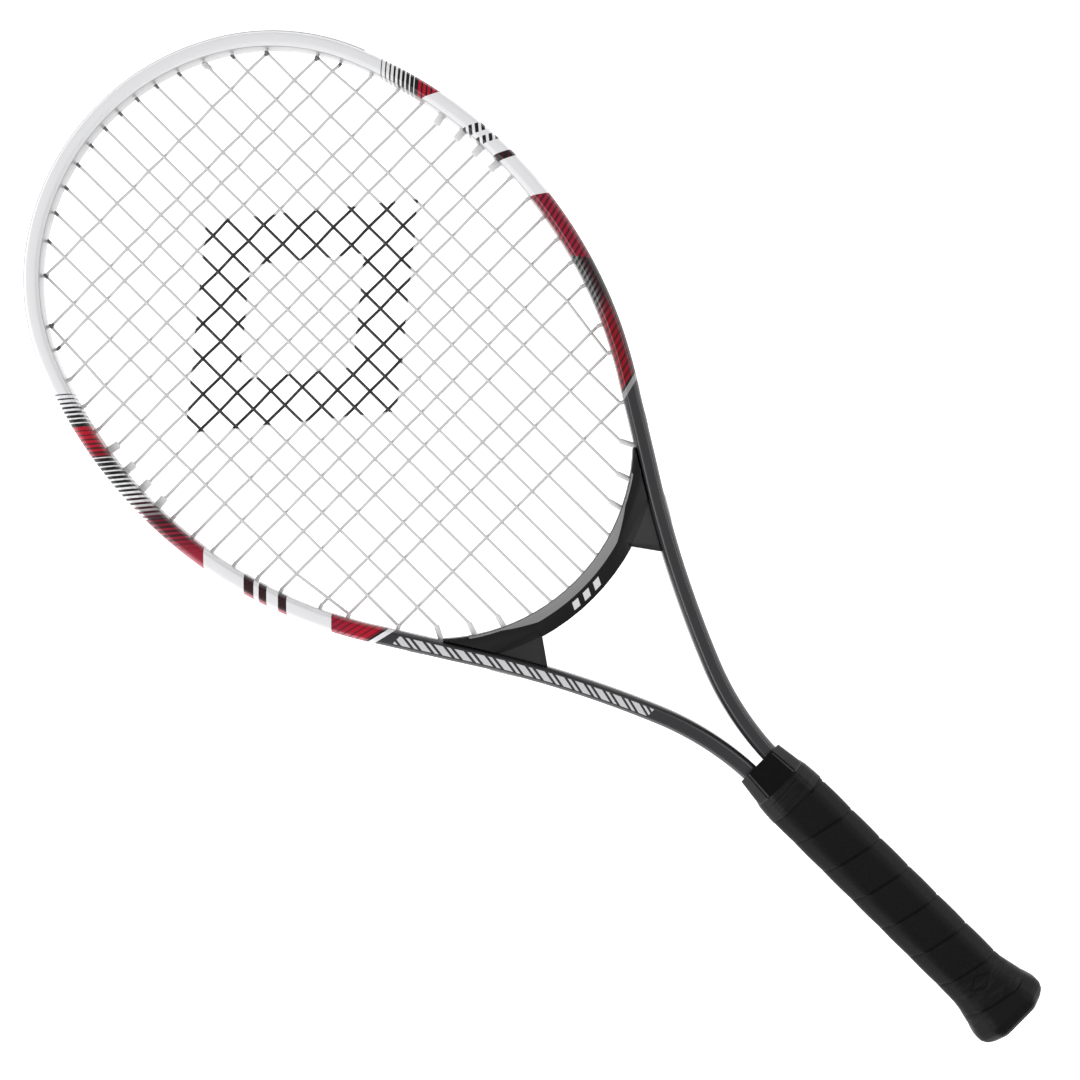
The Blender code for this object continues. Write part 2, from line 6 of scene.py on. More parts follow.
import bmesh
import bpy
import numpy as np
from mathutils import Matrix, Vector


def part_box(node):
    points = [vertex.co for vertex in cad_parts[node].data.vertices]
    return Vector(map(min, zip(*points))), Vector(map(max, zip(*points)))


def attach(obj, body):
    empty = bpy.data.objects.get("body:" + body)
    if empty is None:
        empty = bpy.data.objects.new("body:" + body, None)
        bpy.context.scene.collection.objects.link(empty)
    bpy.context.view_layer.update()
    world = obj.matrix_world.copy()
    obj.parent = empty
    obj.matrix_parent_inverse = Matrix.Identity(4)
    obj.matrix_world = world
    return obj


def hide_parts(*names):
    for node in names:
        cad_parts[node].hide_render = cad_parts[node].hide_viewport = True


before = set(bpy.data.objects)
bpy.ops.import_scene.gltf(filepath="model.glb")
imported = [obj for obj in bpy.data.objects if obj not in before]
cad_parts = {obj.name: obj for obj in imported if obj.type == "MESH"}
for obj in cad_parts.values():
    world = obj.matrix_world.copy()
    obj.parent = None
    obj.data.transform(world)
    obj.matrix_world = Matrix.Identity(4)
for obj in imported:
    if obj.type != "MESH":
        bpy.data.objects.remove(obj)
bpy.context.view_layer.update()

BODY = "root"
MID_Z = float(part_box("cross_string")[1][2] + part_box("main_string")[0][2]) / 2

# Section of the frame tube and of the strips in its groove, from the tube's centre line
TUBE_HALF_WIDTH = 0.00475
TUBE_FLAT = 0.00285  # half width of the front flat
TUBE_DEPTH = 0.00925  # half height at the front flat
TUBE_CHEEK = 0.0063  # half height of the sides
GROOVE_HALF = 0.0026
GROOVE_FLOOR = 0.00235
LEG_PIVOT_Y = -0.1  # points of the tube are sorted by angle about this point of the axis
FLAT_SLACK = 2e-5  # points this close below the highest one lie on the front flat
RAIL_STEP = 0.002
STRIP_BASE = 0.00265
STRIP_FLOOR = 0.00335
STRIP_RIM = 0.00465
STRIP_HALF = 0.0023
STRIP_INNER = 0.00175  # half height inside the channel
BUMPER_FACE = 0.00565
BUMPER_LIP = 0.0058  # half height of the bumper's outer face
BUMPER_BACK = 0.0046

# Strings
STRING_RADIUS = 0.00085
STRING_SIDES = 10
STRING_STEP = 0.0016
RUN_MIN = 0.0355  # a longer straight stretch of a string crosses the head
WEAVE = 0.0008  # how far a string rises over another one
KNOT_AT = (0.0566, 0.3236, 0.0006)
KNOT_TURNS = 2.6
KNOT_POINTS = 46
KNOT_RADIUS = 0.00125
KNOT_PITCH = 0.0012
KNOT_THINNING = 0.8  # the knot is tied of a string this much as thick
BARREL_SIDES = 16
SLEEVE_HALF = 0.0031
SLEEVE_RADIUS = 0.0023
BARREL_FOOT = 0.0042
SIDE_BARREL = 0.0012  # radius, as in the next two
TIP_BARREL = 0.00096
LONG_BARREL = 0.0015
BRIDGE_BARREL_LENGTH = 0.005
SIDE_RIM = 0.0006  # how far a barrel stands in front of its string's bend
TIP_RIM = 0.0018
TIP_FOOT = 0.001  # how far behind its string's bend a barrel of the tip starts
WING_X = (0.035, 0.080)  # mains between these end in long barrels over the bridge's wings
WING_TOP_Y = 0.03
WING_LENGTH = 0.0062
WING_FOOT = 0.003  # a long barrel goes on this far into the tube
WING_TURN = 0.5  # part of the wall's slant that a long barrel follows
DARK_FROM_Y = 0.262  # barrels above this height are dark

# Bridge: an arc about a point of the head's middle line
BRIDGE_CENTRE_Y = 0.0931
BRIDGE_HEAD = 0.106  # radius on the head's side
BRIDGE_THROAT = 0.1193  # and on the throat's side
BRIDGE_STUB = 0.0011  # how far its barrels stand out into the head
BRIDGE_ROUND = 0.0005
LOOP_REACH = 0.1183  # radius at which the mains' loops lie in its groove
BRIDGE_STRIP_HALF = 0.0312

# Handle
HANDLE_SIDES = 96
FACETS = (0.552, 0.425)  # parts of the width and height that the flat faces take
COLLAR_FACETS = (0.600, 0.500)
COLLAR_FOOT_Y = -0.169
COLLAR_FULL_Y = -0.1666  # the collar widens evenly down to here
COLLAR_LID = 0.9  # part of its open end that is flat
COLLAR_SLOPE = 0.17  # the collar's open end leans back from its front face
COLLAR_LEAN = 0.012  # length over which the lean fades
PART_DEPTH = 0.0004  # seam between the collar's halves
PART_TURN = 0.02
TAPE_STEP = 0.0003  # distances between the rows of points along the handle
GRIP_STEP = 0.0005
CAP_STEP = 0.0006
FOLD_DEPTH = 0.0001
WRAP_PITCH = 0.0216
WRAP_START_Y = -0.1945  # height of the first seam at the grip's left edge
WRAP_SWELL = 0.00022
WRAP_SINK = 0.00012
SEAM_HALF = 0.0009
SEAM_DEPTH = 0.0006
GRIP_OVERLAP = 0.0009  # the grip's last row laps over the cap
CAP_HIDDEN = 4  # rings of the cap that lie under the grip
CAP_ROUND_Y = -0.338
CAP_ROUND = 0.76  # the cap's end is its solid's, shortened to this share


# ---- materials

class Value:
    """A socket of a material that takes part in arithmetic."""

    def __init__(self, finish, socket):
        self.finish = finish
        self.socket = socket

    def math(self, operation, *others):
        inputs = dict(enumerate((self, *others)))
        return self.finish.node("ShaderNodeMath", {"operation": operation}, inputs)

    def __rsub__(self, other):
        return self.finish.node("ShaderNodeMath", {"operation": "SUBTRACT"}, {0: other, 1: self})

    __add__ = __radd__ = partialmethod(math, "ADD")
    __sub__ = partialmethod(math, "SUBTRACT")
    __mul__ = __rmul__ = partialmethod(math, "MULTIPLY")
    __truediv__ = partialmethod(math, "DIVIDE")
    __mod__ = partialmethod(math, "FLOORED_MODULO")
    __gt__ = partialmethod(math, "GREATER_THAN")
    __lt__ = partialmethod(math, "LESS_THAN")
    __or__ = partialmethod(math, "MAXIMUM")
    __abs__ = partialmethod(math, "ABSOLUTE")

    def within(self, low, high):
        """One between the two limits and nought outside them."""
        return (self > low) * (self < high)

    def ramp(self, low, high):
        """Rises from nought at low to one at high."""
        spread = {"Value": self, "From Min": low, "From Max": high}
        return self.finish.node("ShaderNodeMapRange", {"clamp": True}, spread)


def feed(tree, socket, value):
    """Links a socket, or sets its value."""
    if isinstance(value, Value):
        value = value.socket
    if isinstance(value, bpy.types.NodeSocket):
        tree.links.new(value, socket)
    else:
        socket.default_value = value


def new_node(tree, kind, settings, inputs):
    """Any node: its settings go in first, then the values or links of its sockets."""
    node = tree.nodes.new(kind)
    for name, value in (settings or {}).items():
        setattr(node, name, value)
    for key, value in (inputs or {}).items():
        feed(tree, node.inputs[key], value)
    return node


class Finish:
    """A material while it is made."""

    def __init__(self, name, **constants):
        self.material = bpy.data.materials.new(name)
        self.material.use_nodes = True
        self.tree = self.material.node_tree
        self.shader = self.tree.nodes["Principled BSDF"]
        for socket, value in constants.items():
            self.shader.inputs[socket.replace("_", " ")].default_value = value
        self.place = self.node("ShaderNodeTexCoord", out="Object")

    def node(self, kind, settings=None, inputs=None, out=0):
        return Value(self, new_node(self.tree, kind, settings, inputs).outputs[out])

    def set(self, name, value):
        feed(self.tree, self.shader.inputs[name], value)

    def coat(self, colour, roughness):
        self.set("Base Color", colour)
        self.set("Roughness", roughness)

    def axes(self):
        return [self.node("ShaderNodeSeparateXYZ", inputs={0: self.place}, out=axis) for axis in "XYZ"]

    def attribute(self, name):
        return self.node("ShaderNodeAttribute", {"attribute_name": name}, out="Fac")

    def blend(self, factor, first, second):
        """The first colour where the factor is nought, the second where it is one."""
        return self.node("ShaderNodeMix", {"data_type": "RGBA"}, {0: factor, 6: first, 7: second}, 2)

    def shaded(self, colour, level):
        """A colour times a grey level."""
        settings = {"data_type": "RGBA", "blend_type": "MULTIPLY"}
        return self.node("ShaderNodeMix", settings, {0: 1.0, 6: colour, 7: grey(level)}, 2)

    def noise(self, scale, detail=3.0, rough=0.5, stretch=None):
        place = self.place
        if stretch:
            place = self.node("ShaderNodeMapping", inputs={"Vector": place, "Scale": stretch})
        inputs = {"Vector": place, "Scale": scale, "Detail": detail, "Roughness": rough}
        return self.node("ShaderNodeTexNoise", inputs=inputs)

    def cells(self, scale):
        return self.node("ShaderNodeTexVoronoi", inputs={"Vector": self.place, "Scale": scale})

    def bump(self, height, distance, strength):
        inputs = {"Height": height, "Distance": distance, "Strength": strength}
        self.set("Normal", self.node("ShaderNodeBump", inputs=inputs))


def grey(level, tint=0.0):
    return (level, level, level * (1 + tint), 1.0)


WHITE = (0.86, 0.86, 0.875, 1.0)
RED = (0.47, 0.004, 0.024, 1.0)
INK = (0.008, 0.008, 0.009, 1.0)
SHAFT = (0.040, 0.040, 0.043, 1.0)
SHAFT_EDGE = (0.016, 0.016, 0.018, 1.0)
SILVER = (0.66, 0.66, 0.68, 1.0)
CRIMSON = (0.33, 0.010, 0.034, 1.0)
BLOOD = (0.30, 0.002, 0.010, 1.0)
DARK_RED = (0.048, 0.005, 0.011, 1.0)
# Painted highlight: this pink is the red paint as it shows on an outer bevel that faces the light.
LIT_BEVEL_PINK = (0.62, 0.20, 0.25, 1.0)
WINE = (0.085, 0.012, 0.022, 1.0)

# Paint of the frame, as heights at which its edges cross the tube
LEFT_LINES = (0.2331, 0.2540)
LEFT_FOOT = 0.1368
LEFT_BARS = ((0.1060, 0.1118), (0.0986, 0.1030), (0.0875, 0.0921))
LEFT_BLOCK = (0.0428, 0.0640)
RIGHT_LINES = (0.2340, 0.2549)
WEDGE_FOOT = 0.2252
SHORT_BLOCKS = ((0.1927, 0.1984), (0.1850, 0.1896))
RIGHT_BAR = (0.1722, 0.1766)
RIGHT_FIELD = (0.0431, 0.1464)
NIGHT_TOP = 0.1069
SHAFT_TOP = 0.0430
BLACK_SLASH = (0.0416, 0.0431)
PALE_SLASH = (0.0386, 0.0416)
SHAFT_BARS = (-0.091, 0.033)
HATCH = 0.0033  # pitch of the slanted lines
BLOCK_PITCH = 0.0054  # pitch of the lines in the short blocks
BAR_PITCH = 0.0096  # pitch of the shaft's bars, a wide and a narrow one together
WALL_SHADE = 0.5  # painted shade: the tube's inner wall is darkened to this share of its paint colour
WALL_EDGE = 0.0004  # how far round the wall's edge that painted shade goes

# Marks: a ring on the strings, slashes on the bridge and a lozenge on the grip
RING_MIDDLE = (-0.003, 0.192)
RING_REACH = (0.086, 0.070)
RING_INK = (0.58, 1.06)
SLASH_PITCH = 0.0078
SLASH_SPAN = (-0.0005, 0.0210)
SLASH_BAND = (0.0072, 0.0112)  # distance from the bridge's edge at the head
LOZENGE_Y = -0.3155
LOZENGE_REACH = (0.0085, 0.0048)


# ---- shapes from the frame

def points_of(node):
    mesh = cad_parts[node].data
    return np.array([vertex.co for vertex in mesh.vertices])


def tube_line():
    """Middle of the tube's front face and half its width, point by point from one leg to the other."""
    points = points_of("frame_tube")
    front = points[points[:, 2] > points[:, 2].max() - FLAT_SLACK][:, :2]
    front = np.unique(np.round(front, 5), axis=0)
    gaps = np.linalg.norm(front[:, None] - front[None], axis=2) + np.eye(len(front))
    mates = gaps.argmin(axis=1)
    rows = []
    for here, other in enumerate(mates):
        if here < other and mates[other] == here:
            middle = (front[here] + front[other]) / 2
            turn = atan2(-middle[0], -(middle[1] - LEG_PIVOT_Y)) % tau
            rows.append((turn, *middle, gaps[here, other] / 2))
    rows = np.array(sorted(rows))
    return rows[:, 1:3], rows[:, 3] * TUBE_HALF_WIDTH / TUBE_FLAT


def smooth_line(points, step):
    """A fine curve through points that lie on arcs, and each fine point's place on the coarse row."""
    chords = np.diff(points, axis=0)
    lengths = np.linalg.norm(chords, axis=1)
    headings = np.unwrap(np.arctan2(chords[:, 1], chords[:, 0]))
    turns = np.diff(headings)
    before = headings[:-1] + np.append(turns[0], turns[:-1]) / 2
    after = headings[1:] - np.append(turns[1:], turns[-1]) / 2
    slopes = np.concatenate(([headings[0]], (before + after) / 2, [headings[-1]]))
    ways = np.stack([np.cos(slopes), np.sin(slopes)], axis=1)
    fine = []
    places = []
    for i, length in enumerate(lengths):
        count = max(int(length / step), 1)
        for t in np.arange(count) / count:
            rise = t * t * (3 - 2 * t)
            lead = t * (1 - t) ** 2 * length
            tail = t * t * (t - 1) * length
            fine.append(points[i] * (1 - rise) + points[i + 1] * rise + ways[i] * lead + ways[i + 1] * tail)
            places.append(i + t)
    fine.append(points[-1])
    places.append(float(len(lengths)))
    return np.array(fine), np.array(places)


def route_of(node):
    """The centre line of a six-sided string solid, ring by ring from one end."""
    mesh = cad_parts[node].data
    points = points_of(node)
    spots, index = np.unique(np.round(points, 6), axis=0, return_inverse=True)
    index = index.ravel()
    joined, ends = {}, {}
    for face in mesh.polygons:
        lean = abs(face.normal.z)
        corners = [int(index[v]) for v in face.vertices]
        for links, wanted in ((joined, lean < 0.8), (ends, lean < 0.1)):
            if wanted:
                for corner in corners:
                    links.setdefault(corner, set()).update(corners)
    ring = {min(ends)}
    for _ in range(3):
        ring = set().union(*(ends[v] for v in ring))
    seen = set(ring)
    route = []
    while ring:
        route.append(spots[sorted(ring)].mean(axis=0))
        ring = set().union(*(joined[v] for v in ring)) - seen
        seen |= ring
    return np.array(route)


def runs_of(route):
    """First and last index of every stretch that crosses the head."""
    long = np.linalg.norm(np.diff(route, axis=0), axis=1) > RUN_MIN
    runs = []
    for i, is_long in enumerate(long):
        if is_long and i and long[i - 1]:
            runs[-1][1] = i + 1
        elif is_long:
            runs.append([i, i + 1])
    return runs


# ---- sweeps and copies by geometry nodes

def line_mesh(name, line, size=None, depth=None):
    """A mesh of one open line. size scales the profile at each point, depth its height."""
    mesh = bpy.data.meshes.new(name)
    mesh.from_pydata(line.tolist(), [(i, i + 1) for i in range(len(line) - 1)], [])
    for label, values in (("size", size), ("depth", depth)):
        mark(mesh, label, np.ones(len(line)) if values is None else values)
    return new_object(name, mesh)


def mark(mesh, label, values, kind="FLOAT"):
    """Gives every point of a mesh its own value, which a tree or a finish reads by its label."""
    layer = mesh.attributes.new(label, kind, "POINT")
    layer.data.foreach_set("value" if kind == "FLOAT" else "vector", np.ravel(values))


def new_object(name, mesh, hidden=False):
    thing = bpy.data.objects.new(name, mesh)
    bpy.context.scene.collection.objects.link(thing)
    thing.hide_render = hidden
    return thing


def profile_object(name, outline):
    """A closed flat outline, kept out of sight, that a sweep carries along its line."""
    mesh = bpy.data.meshes.new(name)
    count = len(outline)
    edges = [(i, (i + 1) % count) for i in range(count)]
    mesh.from_pydata([(-u, v, 0.0) for u, v in outline], edges, [])
    mark(mesh, "across", [u for u, _ in outline])
    return new_object(name, mesh, hidden=True)


class Tree:
    """A geometry node tree while it is made."""

    def __init__(self, name, sockets):
        self.tree = bpy.data.node_groups.new(name, "GeometryNodeTree")
        self.sockets = {}
        for side in ("INPUT", "OUTPUT"):
            self.tree.interface.new_socket("Geometry", in_out=side, socket_type="NodeSocketGeometry")
        for label, kind in sockets.items():
            made = self.tree.interface.new_socket(label, in_out="INPUT", socket_type="NodeSocket" + kind)
            self.sockets[label] = made.identifier
        self.start = self.tree.nodes.new("NodeGroupInput")
        self.end = self.tree.nodes.new("NodeGroupOutput")

    def node(self, kind, settings=None, inputs=None, out=0):
        return new_node(self.tree, kind, settings, inputs).outputs[out]

    def math(self, operation, first, second):
        return self.node("ShaderNodeMath", {"operation": operation}, {0: first, 1: second})

    def given(self, label):
        return self.start.outputs[label]

    def shape(self, label):
        info = {"Object": self.given(label)}
        return self.node("GeometryNodeObjectInfo", inputs=info, out="Geometry")

    def named(self, label, kind="FLOAT"):
        return self.node("GeometryNodeInputNamedAttribute", {"data_type": kind}, {"Name": label})

    def finish(self, geometry):
        whole = self.node("GeometryNodeRealizeInstances", inputs={"Geometry": geometry})
        inputs = {"Geometry": whole, "Material": self.given("Finish")}
        dressed = self.node("GeometryNodeSetMaterial", inputs=inputs)
        self.tree.links.new(dressed, self.end.inputs[0])


def sweep_tree():
    """Carries an outline along a line; the height is scaled apart from the width, about a level."""
    make = Tree("swept_outline", {"Outline": "Object", "Level": "Float", "Finish": "Material"})
    line = make.node("GeometryNodeMeshToCurve", inputs={"Mesh": make.given("Geometry")})
    level = make.node("GeometryNodeSetCurveNormal", {"mode": "Z_UP"}, {"Curve": line})
    outline = make.node("GeometryNodeMeshToCurve", inputs={"Mesh": make.shape("Outline")})
    skin = make.node("GeometryNodeCurveToMesh", inputs={
        "Curve": level, "Profile Curve": outline, "Scale": make.named("size"), "Fill Caps": True})
    height = make.node("ShaderNodeSeparateXYZ", inputs={0: make.node("GeometryNodeInputPosition")}, out=2)
    above = make.math("SUBTRACT", height, make.given("Level"))
    spare = make.math("SUBTRACT", make.named("depth"), 1.0)
    shift = make.math("MULTIPLY", above, spare)
    offset = make.node("ShaderNodeCombineXYZ", inputs={2: shift})
    make.finish(make.node("GeometryNodeSetPosition", inputs={"Geometry": skin, "Offset": offset}))
    return make


def copies_tree():
    """Puts a copy of one piece on every point, aimed and stretched as the point says."""
    make = Tree("set_copies", {"Piece": "Object", "Finish": "Material"})
    aim = {"Vector": make.named("aim", "FLOAT_VECTOR")}
    turn = make.node("FunctionNodeAlignRotationToVector", {"axis": "Z"}, aim)
    make.finish(make.node("GeometryNodeInstanceOnPoints", inputs={
        "Points": make.given("Geometry"), "Instance": make.shape("Piece"), "Rotation": turn,
        "Scale": make.named("stretch", "FLOAT_VECTOR")}))
    return make


def grown(thing, make, values, name, sharp=35):
    """The plain mesh that a tree makes from an object, which then goes."""
    step = thing.modifiers.new("grow", "NODES")
    step.node_group = make.tree
    for label, value in values.items():
        step[make.sockets[label]] = value
    thing.update_tag()
    mesh = worked_in(thing, step)
    bpy.data.objects.remove(thing)
    mesh.name = name
    tidy_mesh(mesh, sharp)
    return new_object(name, mesh)


def worked_in(thing, step):
    """The plain mesh that an object has with its modifier, which then goes."""
    reading = bpy.context.evaluated_depsgraph_get()
    mesh = bpy.data.meshes.new_from_object(thing.evaluated_get(reading))
    thing.modifiers.remove(step)
    return mesh


def smoothed(mesh, sharp):
    mesh.shade_smooth()
    mesh.set_sharp_from_angle(angle=radians(sharp))


def tidy_mesh(mesh, sharp):
    """Turns the faces outwards and smooths all but the sharp edges."""
    work = bmesh.new()
    work.from_mesh(mesh)
    bmesh.ops.recalc_face_normals(work, faces=work.faces)
    work.to_mesh(mesh)
    work.free()
    smoothed(mesh, sharp)


def dress(piece, slot, *nodes):
    """Rides the piece on the racket and hides the nodes that it stands for."""
    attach(piece, BODY)
    if nodes:
        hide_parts(*nodes)


def filleted(upper, steps):
    """A closed outline from its upper half, as corners and the radius that rounds each of them."""
    corners = upper + [(u, -v, radius) for u, v, radius in upper[::-1]]
    outline = []
    for i, (u, v, cut) in enumerate(corners):
        here = Vector((u, v))
        back = Vector(corners[i - 1][:2]) - here
        on = Vector(corners[(i + 1) % len(corners)][:2]) - here
        start = here + back.normalized() * min(cut, back.length * 0.45)
        end = here + on.normalized() * min(cut, on.length * 0.45)
        for k in range(steps + 1):
            t = k / steps
            outline.append(start * (1 - t) ** 2 + here * 2 * t * (1 - t) + end * t * t)
    return [tuple(p) for p in outline]


# ---- frame tube and grommet strips

def tube_outline():
    upper = [
        (GROOVE_FLOOR, GROOVE_HALF, 0.0003), (TUBE_HALF_WIDTH, GROOVE_HALF, 0.0003),
        (TUBE_HALF_WIDTH, TUBE_CHEEK, 0.0011), (TUBE_FLAT, TUBE_DEPTH, 0.0010),
        (-TUBE_FLAT, TUBE_DEPTH, 0.0010), (-TUBE_HALF_WIDTH, TUBE_CHEEK, 0.0011),
    ]
    return filleted(upper, 3)


def strip_outline(bumper=False):
    rim = BUMPER_FACE if bumper else STRIP_RIM
    upper = [(STRIP_FLOOR, STRIP_INNER), (rim, STRIP_INNER)]
    if bumper:
        upper += [(rim, BUMPER_LIP - 0.0004), (BUMPER_BACK, BUMPER_LIP), (BUMPER_BACK, STRIP_HALF)]
    else:
        upper += [(rim, STRIP_HALF)]
    upper += [(STRIP_BASE, STRIP_HALF)]
    return filleted([(*corner, 0.0002) for corner in upper], 2)


def swept_rail(name, outline, finish, rail, sizes, first=None, last=None):
    """A sweep along the tube's centre line, or along part of it, scaled in width and not in height."""
    line = np.column_stack([rail[first:last], np.full(len(rail[first:last]), MID_Z)])
    size = sizes[first:last] / TUBE_HALF_WIDTH
    return swept(name, line_mesh(name + "_line", line, size, 1 / size), outline, finish)


def swept(name, path, outline, finish, sharp=35):
    guide = profile_object(name + "_outline", outline)
    piece = grown(path, SWEEP, {"Outline": guide, "Level": MID_Z, "Finish": finish}, name, sharp)
    bpy.data.objects.remove(guide)
    return piece


def rail_index(rail, side, y):
    """Index of the centre line's point at a height on one side of the racket."""
    on_side = rail[:, 0] * side > 0
    gaps = np.where(on_side, np.abs(rail[:, 1] - y), np.inf)
    return int(gaps.argmin())


def heading(start, end):
    """Unit direction from one point to another."""
    way = end - start
    return way / np.linalg.norm(way)


def barrel_piece():
    """A hollow round barrel of unit radius and length with a rounded rim at its far end."""
    rings = [(1.0, 0.0), (1.0, 0.90), (0.94, 0.97), (0.86, 1.0), (0.66, 1.0), (0.58, 0.96), (0.58, 0.5)]
    mesh = bpy.data.meshes.new("barrel")
    points = [(r * cos(tau * i / BARREL_SIDES), r * sin(tau * i / BARREL_SIDES), z)
              for r, z in rings for i in range(BARREL_SIDES)]
    faces = []
    for ring in range(len(rings)):
        low = ring * BARREL_SIDES
        high = (ring + 1) % len(rings) * BARREL_SIDES
        for i in range(BARREL_SIDES):
            j = (i + 1) % BARREL_SIDES
            faces.append((low + i, low + j, high + j, high + i))
    mesh.from_pydata(points, [], faces)
    return new_object("barrel", mesh, hidden=True)


def barrels(name, ports, finish):
    """One mesh of barrels; a port is its foot, its tip and its radius."""
    mesh = bpy.data.meshes.new(name + "_points")
    mesh.from_pydata([tuple(foot) for foot, _, _ in ports], [], [])
    mark(mesh, "aim", [heading(foot, tip) for foot, tip, _ in ports], "FLOAT_VECTOR")
    sizes = [(radius, radius, np.linalg.norm(tip - foot)) for foot, tip, radius in ports]
    mark(mesh, "stretch", sizes, "FLOAT_VECTOR")
    piece = barrel_piece()
    made = grown(new_object(name + "_points", mesh), COPIES, {"Piece": piece, "Finish": finish}, name)
    bpy.data.objects.remove(piece)
    return made


# ---- strings

def crossing_levels(run, others, over):
    """A run's axis, and where on it the other string's runs cross and how high it passes them."""
    start, end = run[0], run[-1]
    axis = int(np.argmax(np.abs(end - start)))
    cross = 1 - axis
    spots = []
    for number, other in enumerate(others):
        a, b = other[0], other[-1]
        at = np.interp((start[cross] + end[cross]) / 2,
                       *zip(*sorted(((a[cross], a[axis]), (b[cross], b[axis])))))
        inside = min(a[cross], b[cross]) < start[cross] < max(a[cross], b[cross])
        if inside and min(start[axis], end[axis]) < at < max(start[axis], end[axis]):
            spots.append((at, WEAVE * (1 if (number % 2 == 0) == over else -1)))
    return axis, spots


def woven_run(run, others, over):
    """A run's fine points, going over and under the strings that it crosses."""
    axis, spots = crossing_levels(run, others, over)
    ends = [(run[0][axis], run[0][2] - MID_Z), (run[-1][axis], run[-1][2] - MID_Z)]
    marks = sorted(spots + ends)
    places, levels = np.array(marks).T
    fine = []
    for a, b in zip(run, run[1:]):
        count = int(np.linalg.norm(b - a) / STRING_STEP)
        fine += [a + (b - a) * i / count for i in range(count)]
    fine = np.array(fine + [run[-1]])
    slot = np.clip(np.searchsorted(places, fine[:, axis], side="right") - 1, 0, len(places) - 2)
    part = (fine[:, axis] - places[slot]) / (places[slot + 1] - places[slot])
    rise = (1 - np.cos(np.clip(part, 0, 1) * pi)) / 2
    fine[:, 2] = MID_Z + levels[slot] * (1 - rise) + levels[slot + 1] * rise
    return fine


def softened(points):
    """The same open line with its corners cut twice."""
    for _ in range(2):
        if len(points) < 3:
            return points
        near = points[:-1] * 0.75 + points[1:] * 0.25
        far = points[:-1] * 0.25 + points[1:] * 0.75
        cuts = np.stack([near, far], axis=1).reshape(-1, 3)[1:-1]
        points = np.concatenate([points[:1], cuts, points[-1:]])
    return points


def woven(route, others, parity):
    """The whole route of one string, woven where it crosses the head."""
    runs = runs_of(route)
    axis = int(np.argmax(np.abs(route[runs[0][1]] - route[runs[0][0]])[:2]))
    order = sorted(range(len(runs)), key=lambda i: route[runs[i][0]][1 - axis])
    rank = {number: place for place, number in enumerate(order)}
    parts = []
    at = 0
    for number, (first, last) in enumerate(runs):
        parts.append(softened(route[at:first + 1]))
        parts.append(woven_run(route[first:last + 1], others, rank[number] % 2 == parity)[1:-1])
        at = last
    parts.append(softened(route[at:]))
    return np.concatenate(parts)


def sorted_runs(route, axis):
    rows = [route[first:last + 1] for first, last in runs_of(route)]
    return sorted(rows, key=lambda run: run[0][axis])


def rod(name, line, radius, finish):
    """A round string along a line."""
    turns = [tau * i / STRING_SIDES for i in range(STRING_SIDES)]
    outline = [(radius * cos(turn), radius * sin(turn)) for turn in turns]
    return swept(name, line_mesh(name + "_line", line), outline, finish, 60)


# ---- handle

def rings_of(node):
    """Half width and half height of a handle piece's outside, ring by ring towards the butt."""
    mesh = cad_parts[node].data
    rows = {}
    for face in mesh.polygons:
        away = Vector((face.center.x, 0.0, face.center.z - MID_Z))
        if face.normal.dot(away) <= 0 or abs(face.normal.y) > 0.9:
            continue
        for x, y, z in (mesh.vertices[corner].co for corner in face.vertices):
            row = rows.setdefault(round(float(y), 4), [0.0, 0.0])
            row[0] = max(row[0], abs(x))
            row[1] = max(row[1], abs(z - MID_Z))
    return np.array([(y, *rows[y]) for y in sorted(rows, reverse=True)])


def octagon_radius(angle, width, height, softness, facets):
    """Distance from the handle's axis to its eight-sided surface, with soft corners."""
    flat, upright = facets
    chamfer = np.array([height * (1 - upright), width * (1 - flat)])
    chamfer /= np.linalg.norm(chamfer)
    reach = chamfer @ np.array([width, height * upright])
    power = 0.0
    for normal, distance in (((1, 0), width), ((0, 1), height), (chamfer, reach)):
        facing = normal[0] * abs(cos(angle)) + normal[1] * abs(sin(angle))
        power += (facing / distance) ** softness
    return power ** (-1 / softness)


def wrapped(name, rows, relief, finish, softness=26, facets=FACETS, sharp=50):
    """A closed eight-sided shell through rows of (y, half width, half height), with a relief on it."""
    sides = HANDLE_SIDES
    points = []
    for y, width, height in rows:
        for angle in np.arange(sides) * tau / sides:
            reach = octagon_radius(angle, width, height, softness, facets) + relief(angle, y)
            points.append((reach * cos(angle), y, MID_Z + reach * sin(angle)))
    faces = []
    for row in range(len(rows) - 1):
        for i in range(sides):
            j = (i + 1) % sides
            low = row * sides
            faces.append((low + i, low + j, low + sides + j, low + sides + i))
    for row in (0, len(rows) - 1):
        points.append((0.0, float(rows[row][0]), MID_Z))
        hub = len(points) - 1
        faces += [(hub, row * sides + i, row * sides + (i + 1) % sides) for i in range(sides)]
    mesh = bpy.data.meshes.new(name)
    mesh.from_pydata(points, [], faces)
    mesh.materials.append(finish)
    tidy_mesh(mesh, sharp)
    return new_object(name, mesh)


def refined_rows(rings, step):
    """Rows every step along the axis, between the rings of a handle piece."""
    high, low = rings[0][0], rings[-1][0]
    heights = np.linspace(high, low, max(int((high - low) / step), 2))
    back = rings[::-1]
    return np.column_stack([heights] + [np.interp(heights, back[:, 0], back[:, k]) for k in (1, 2)])


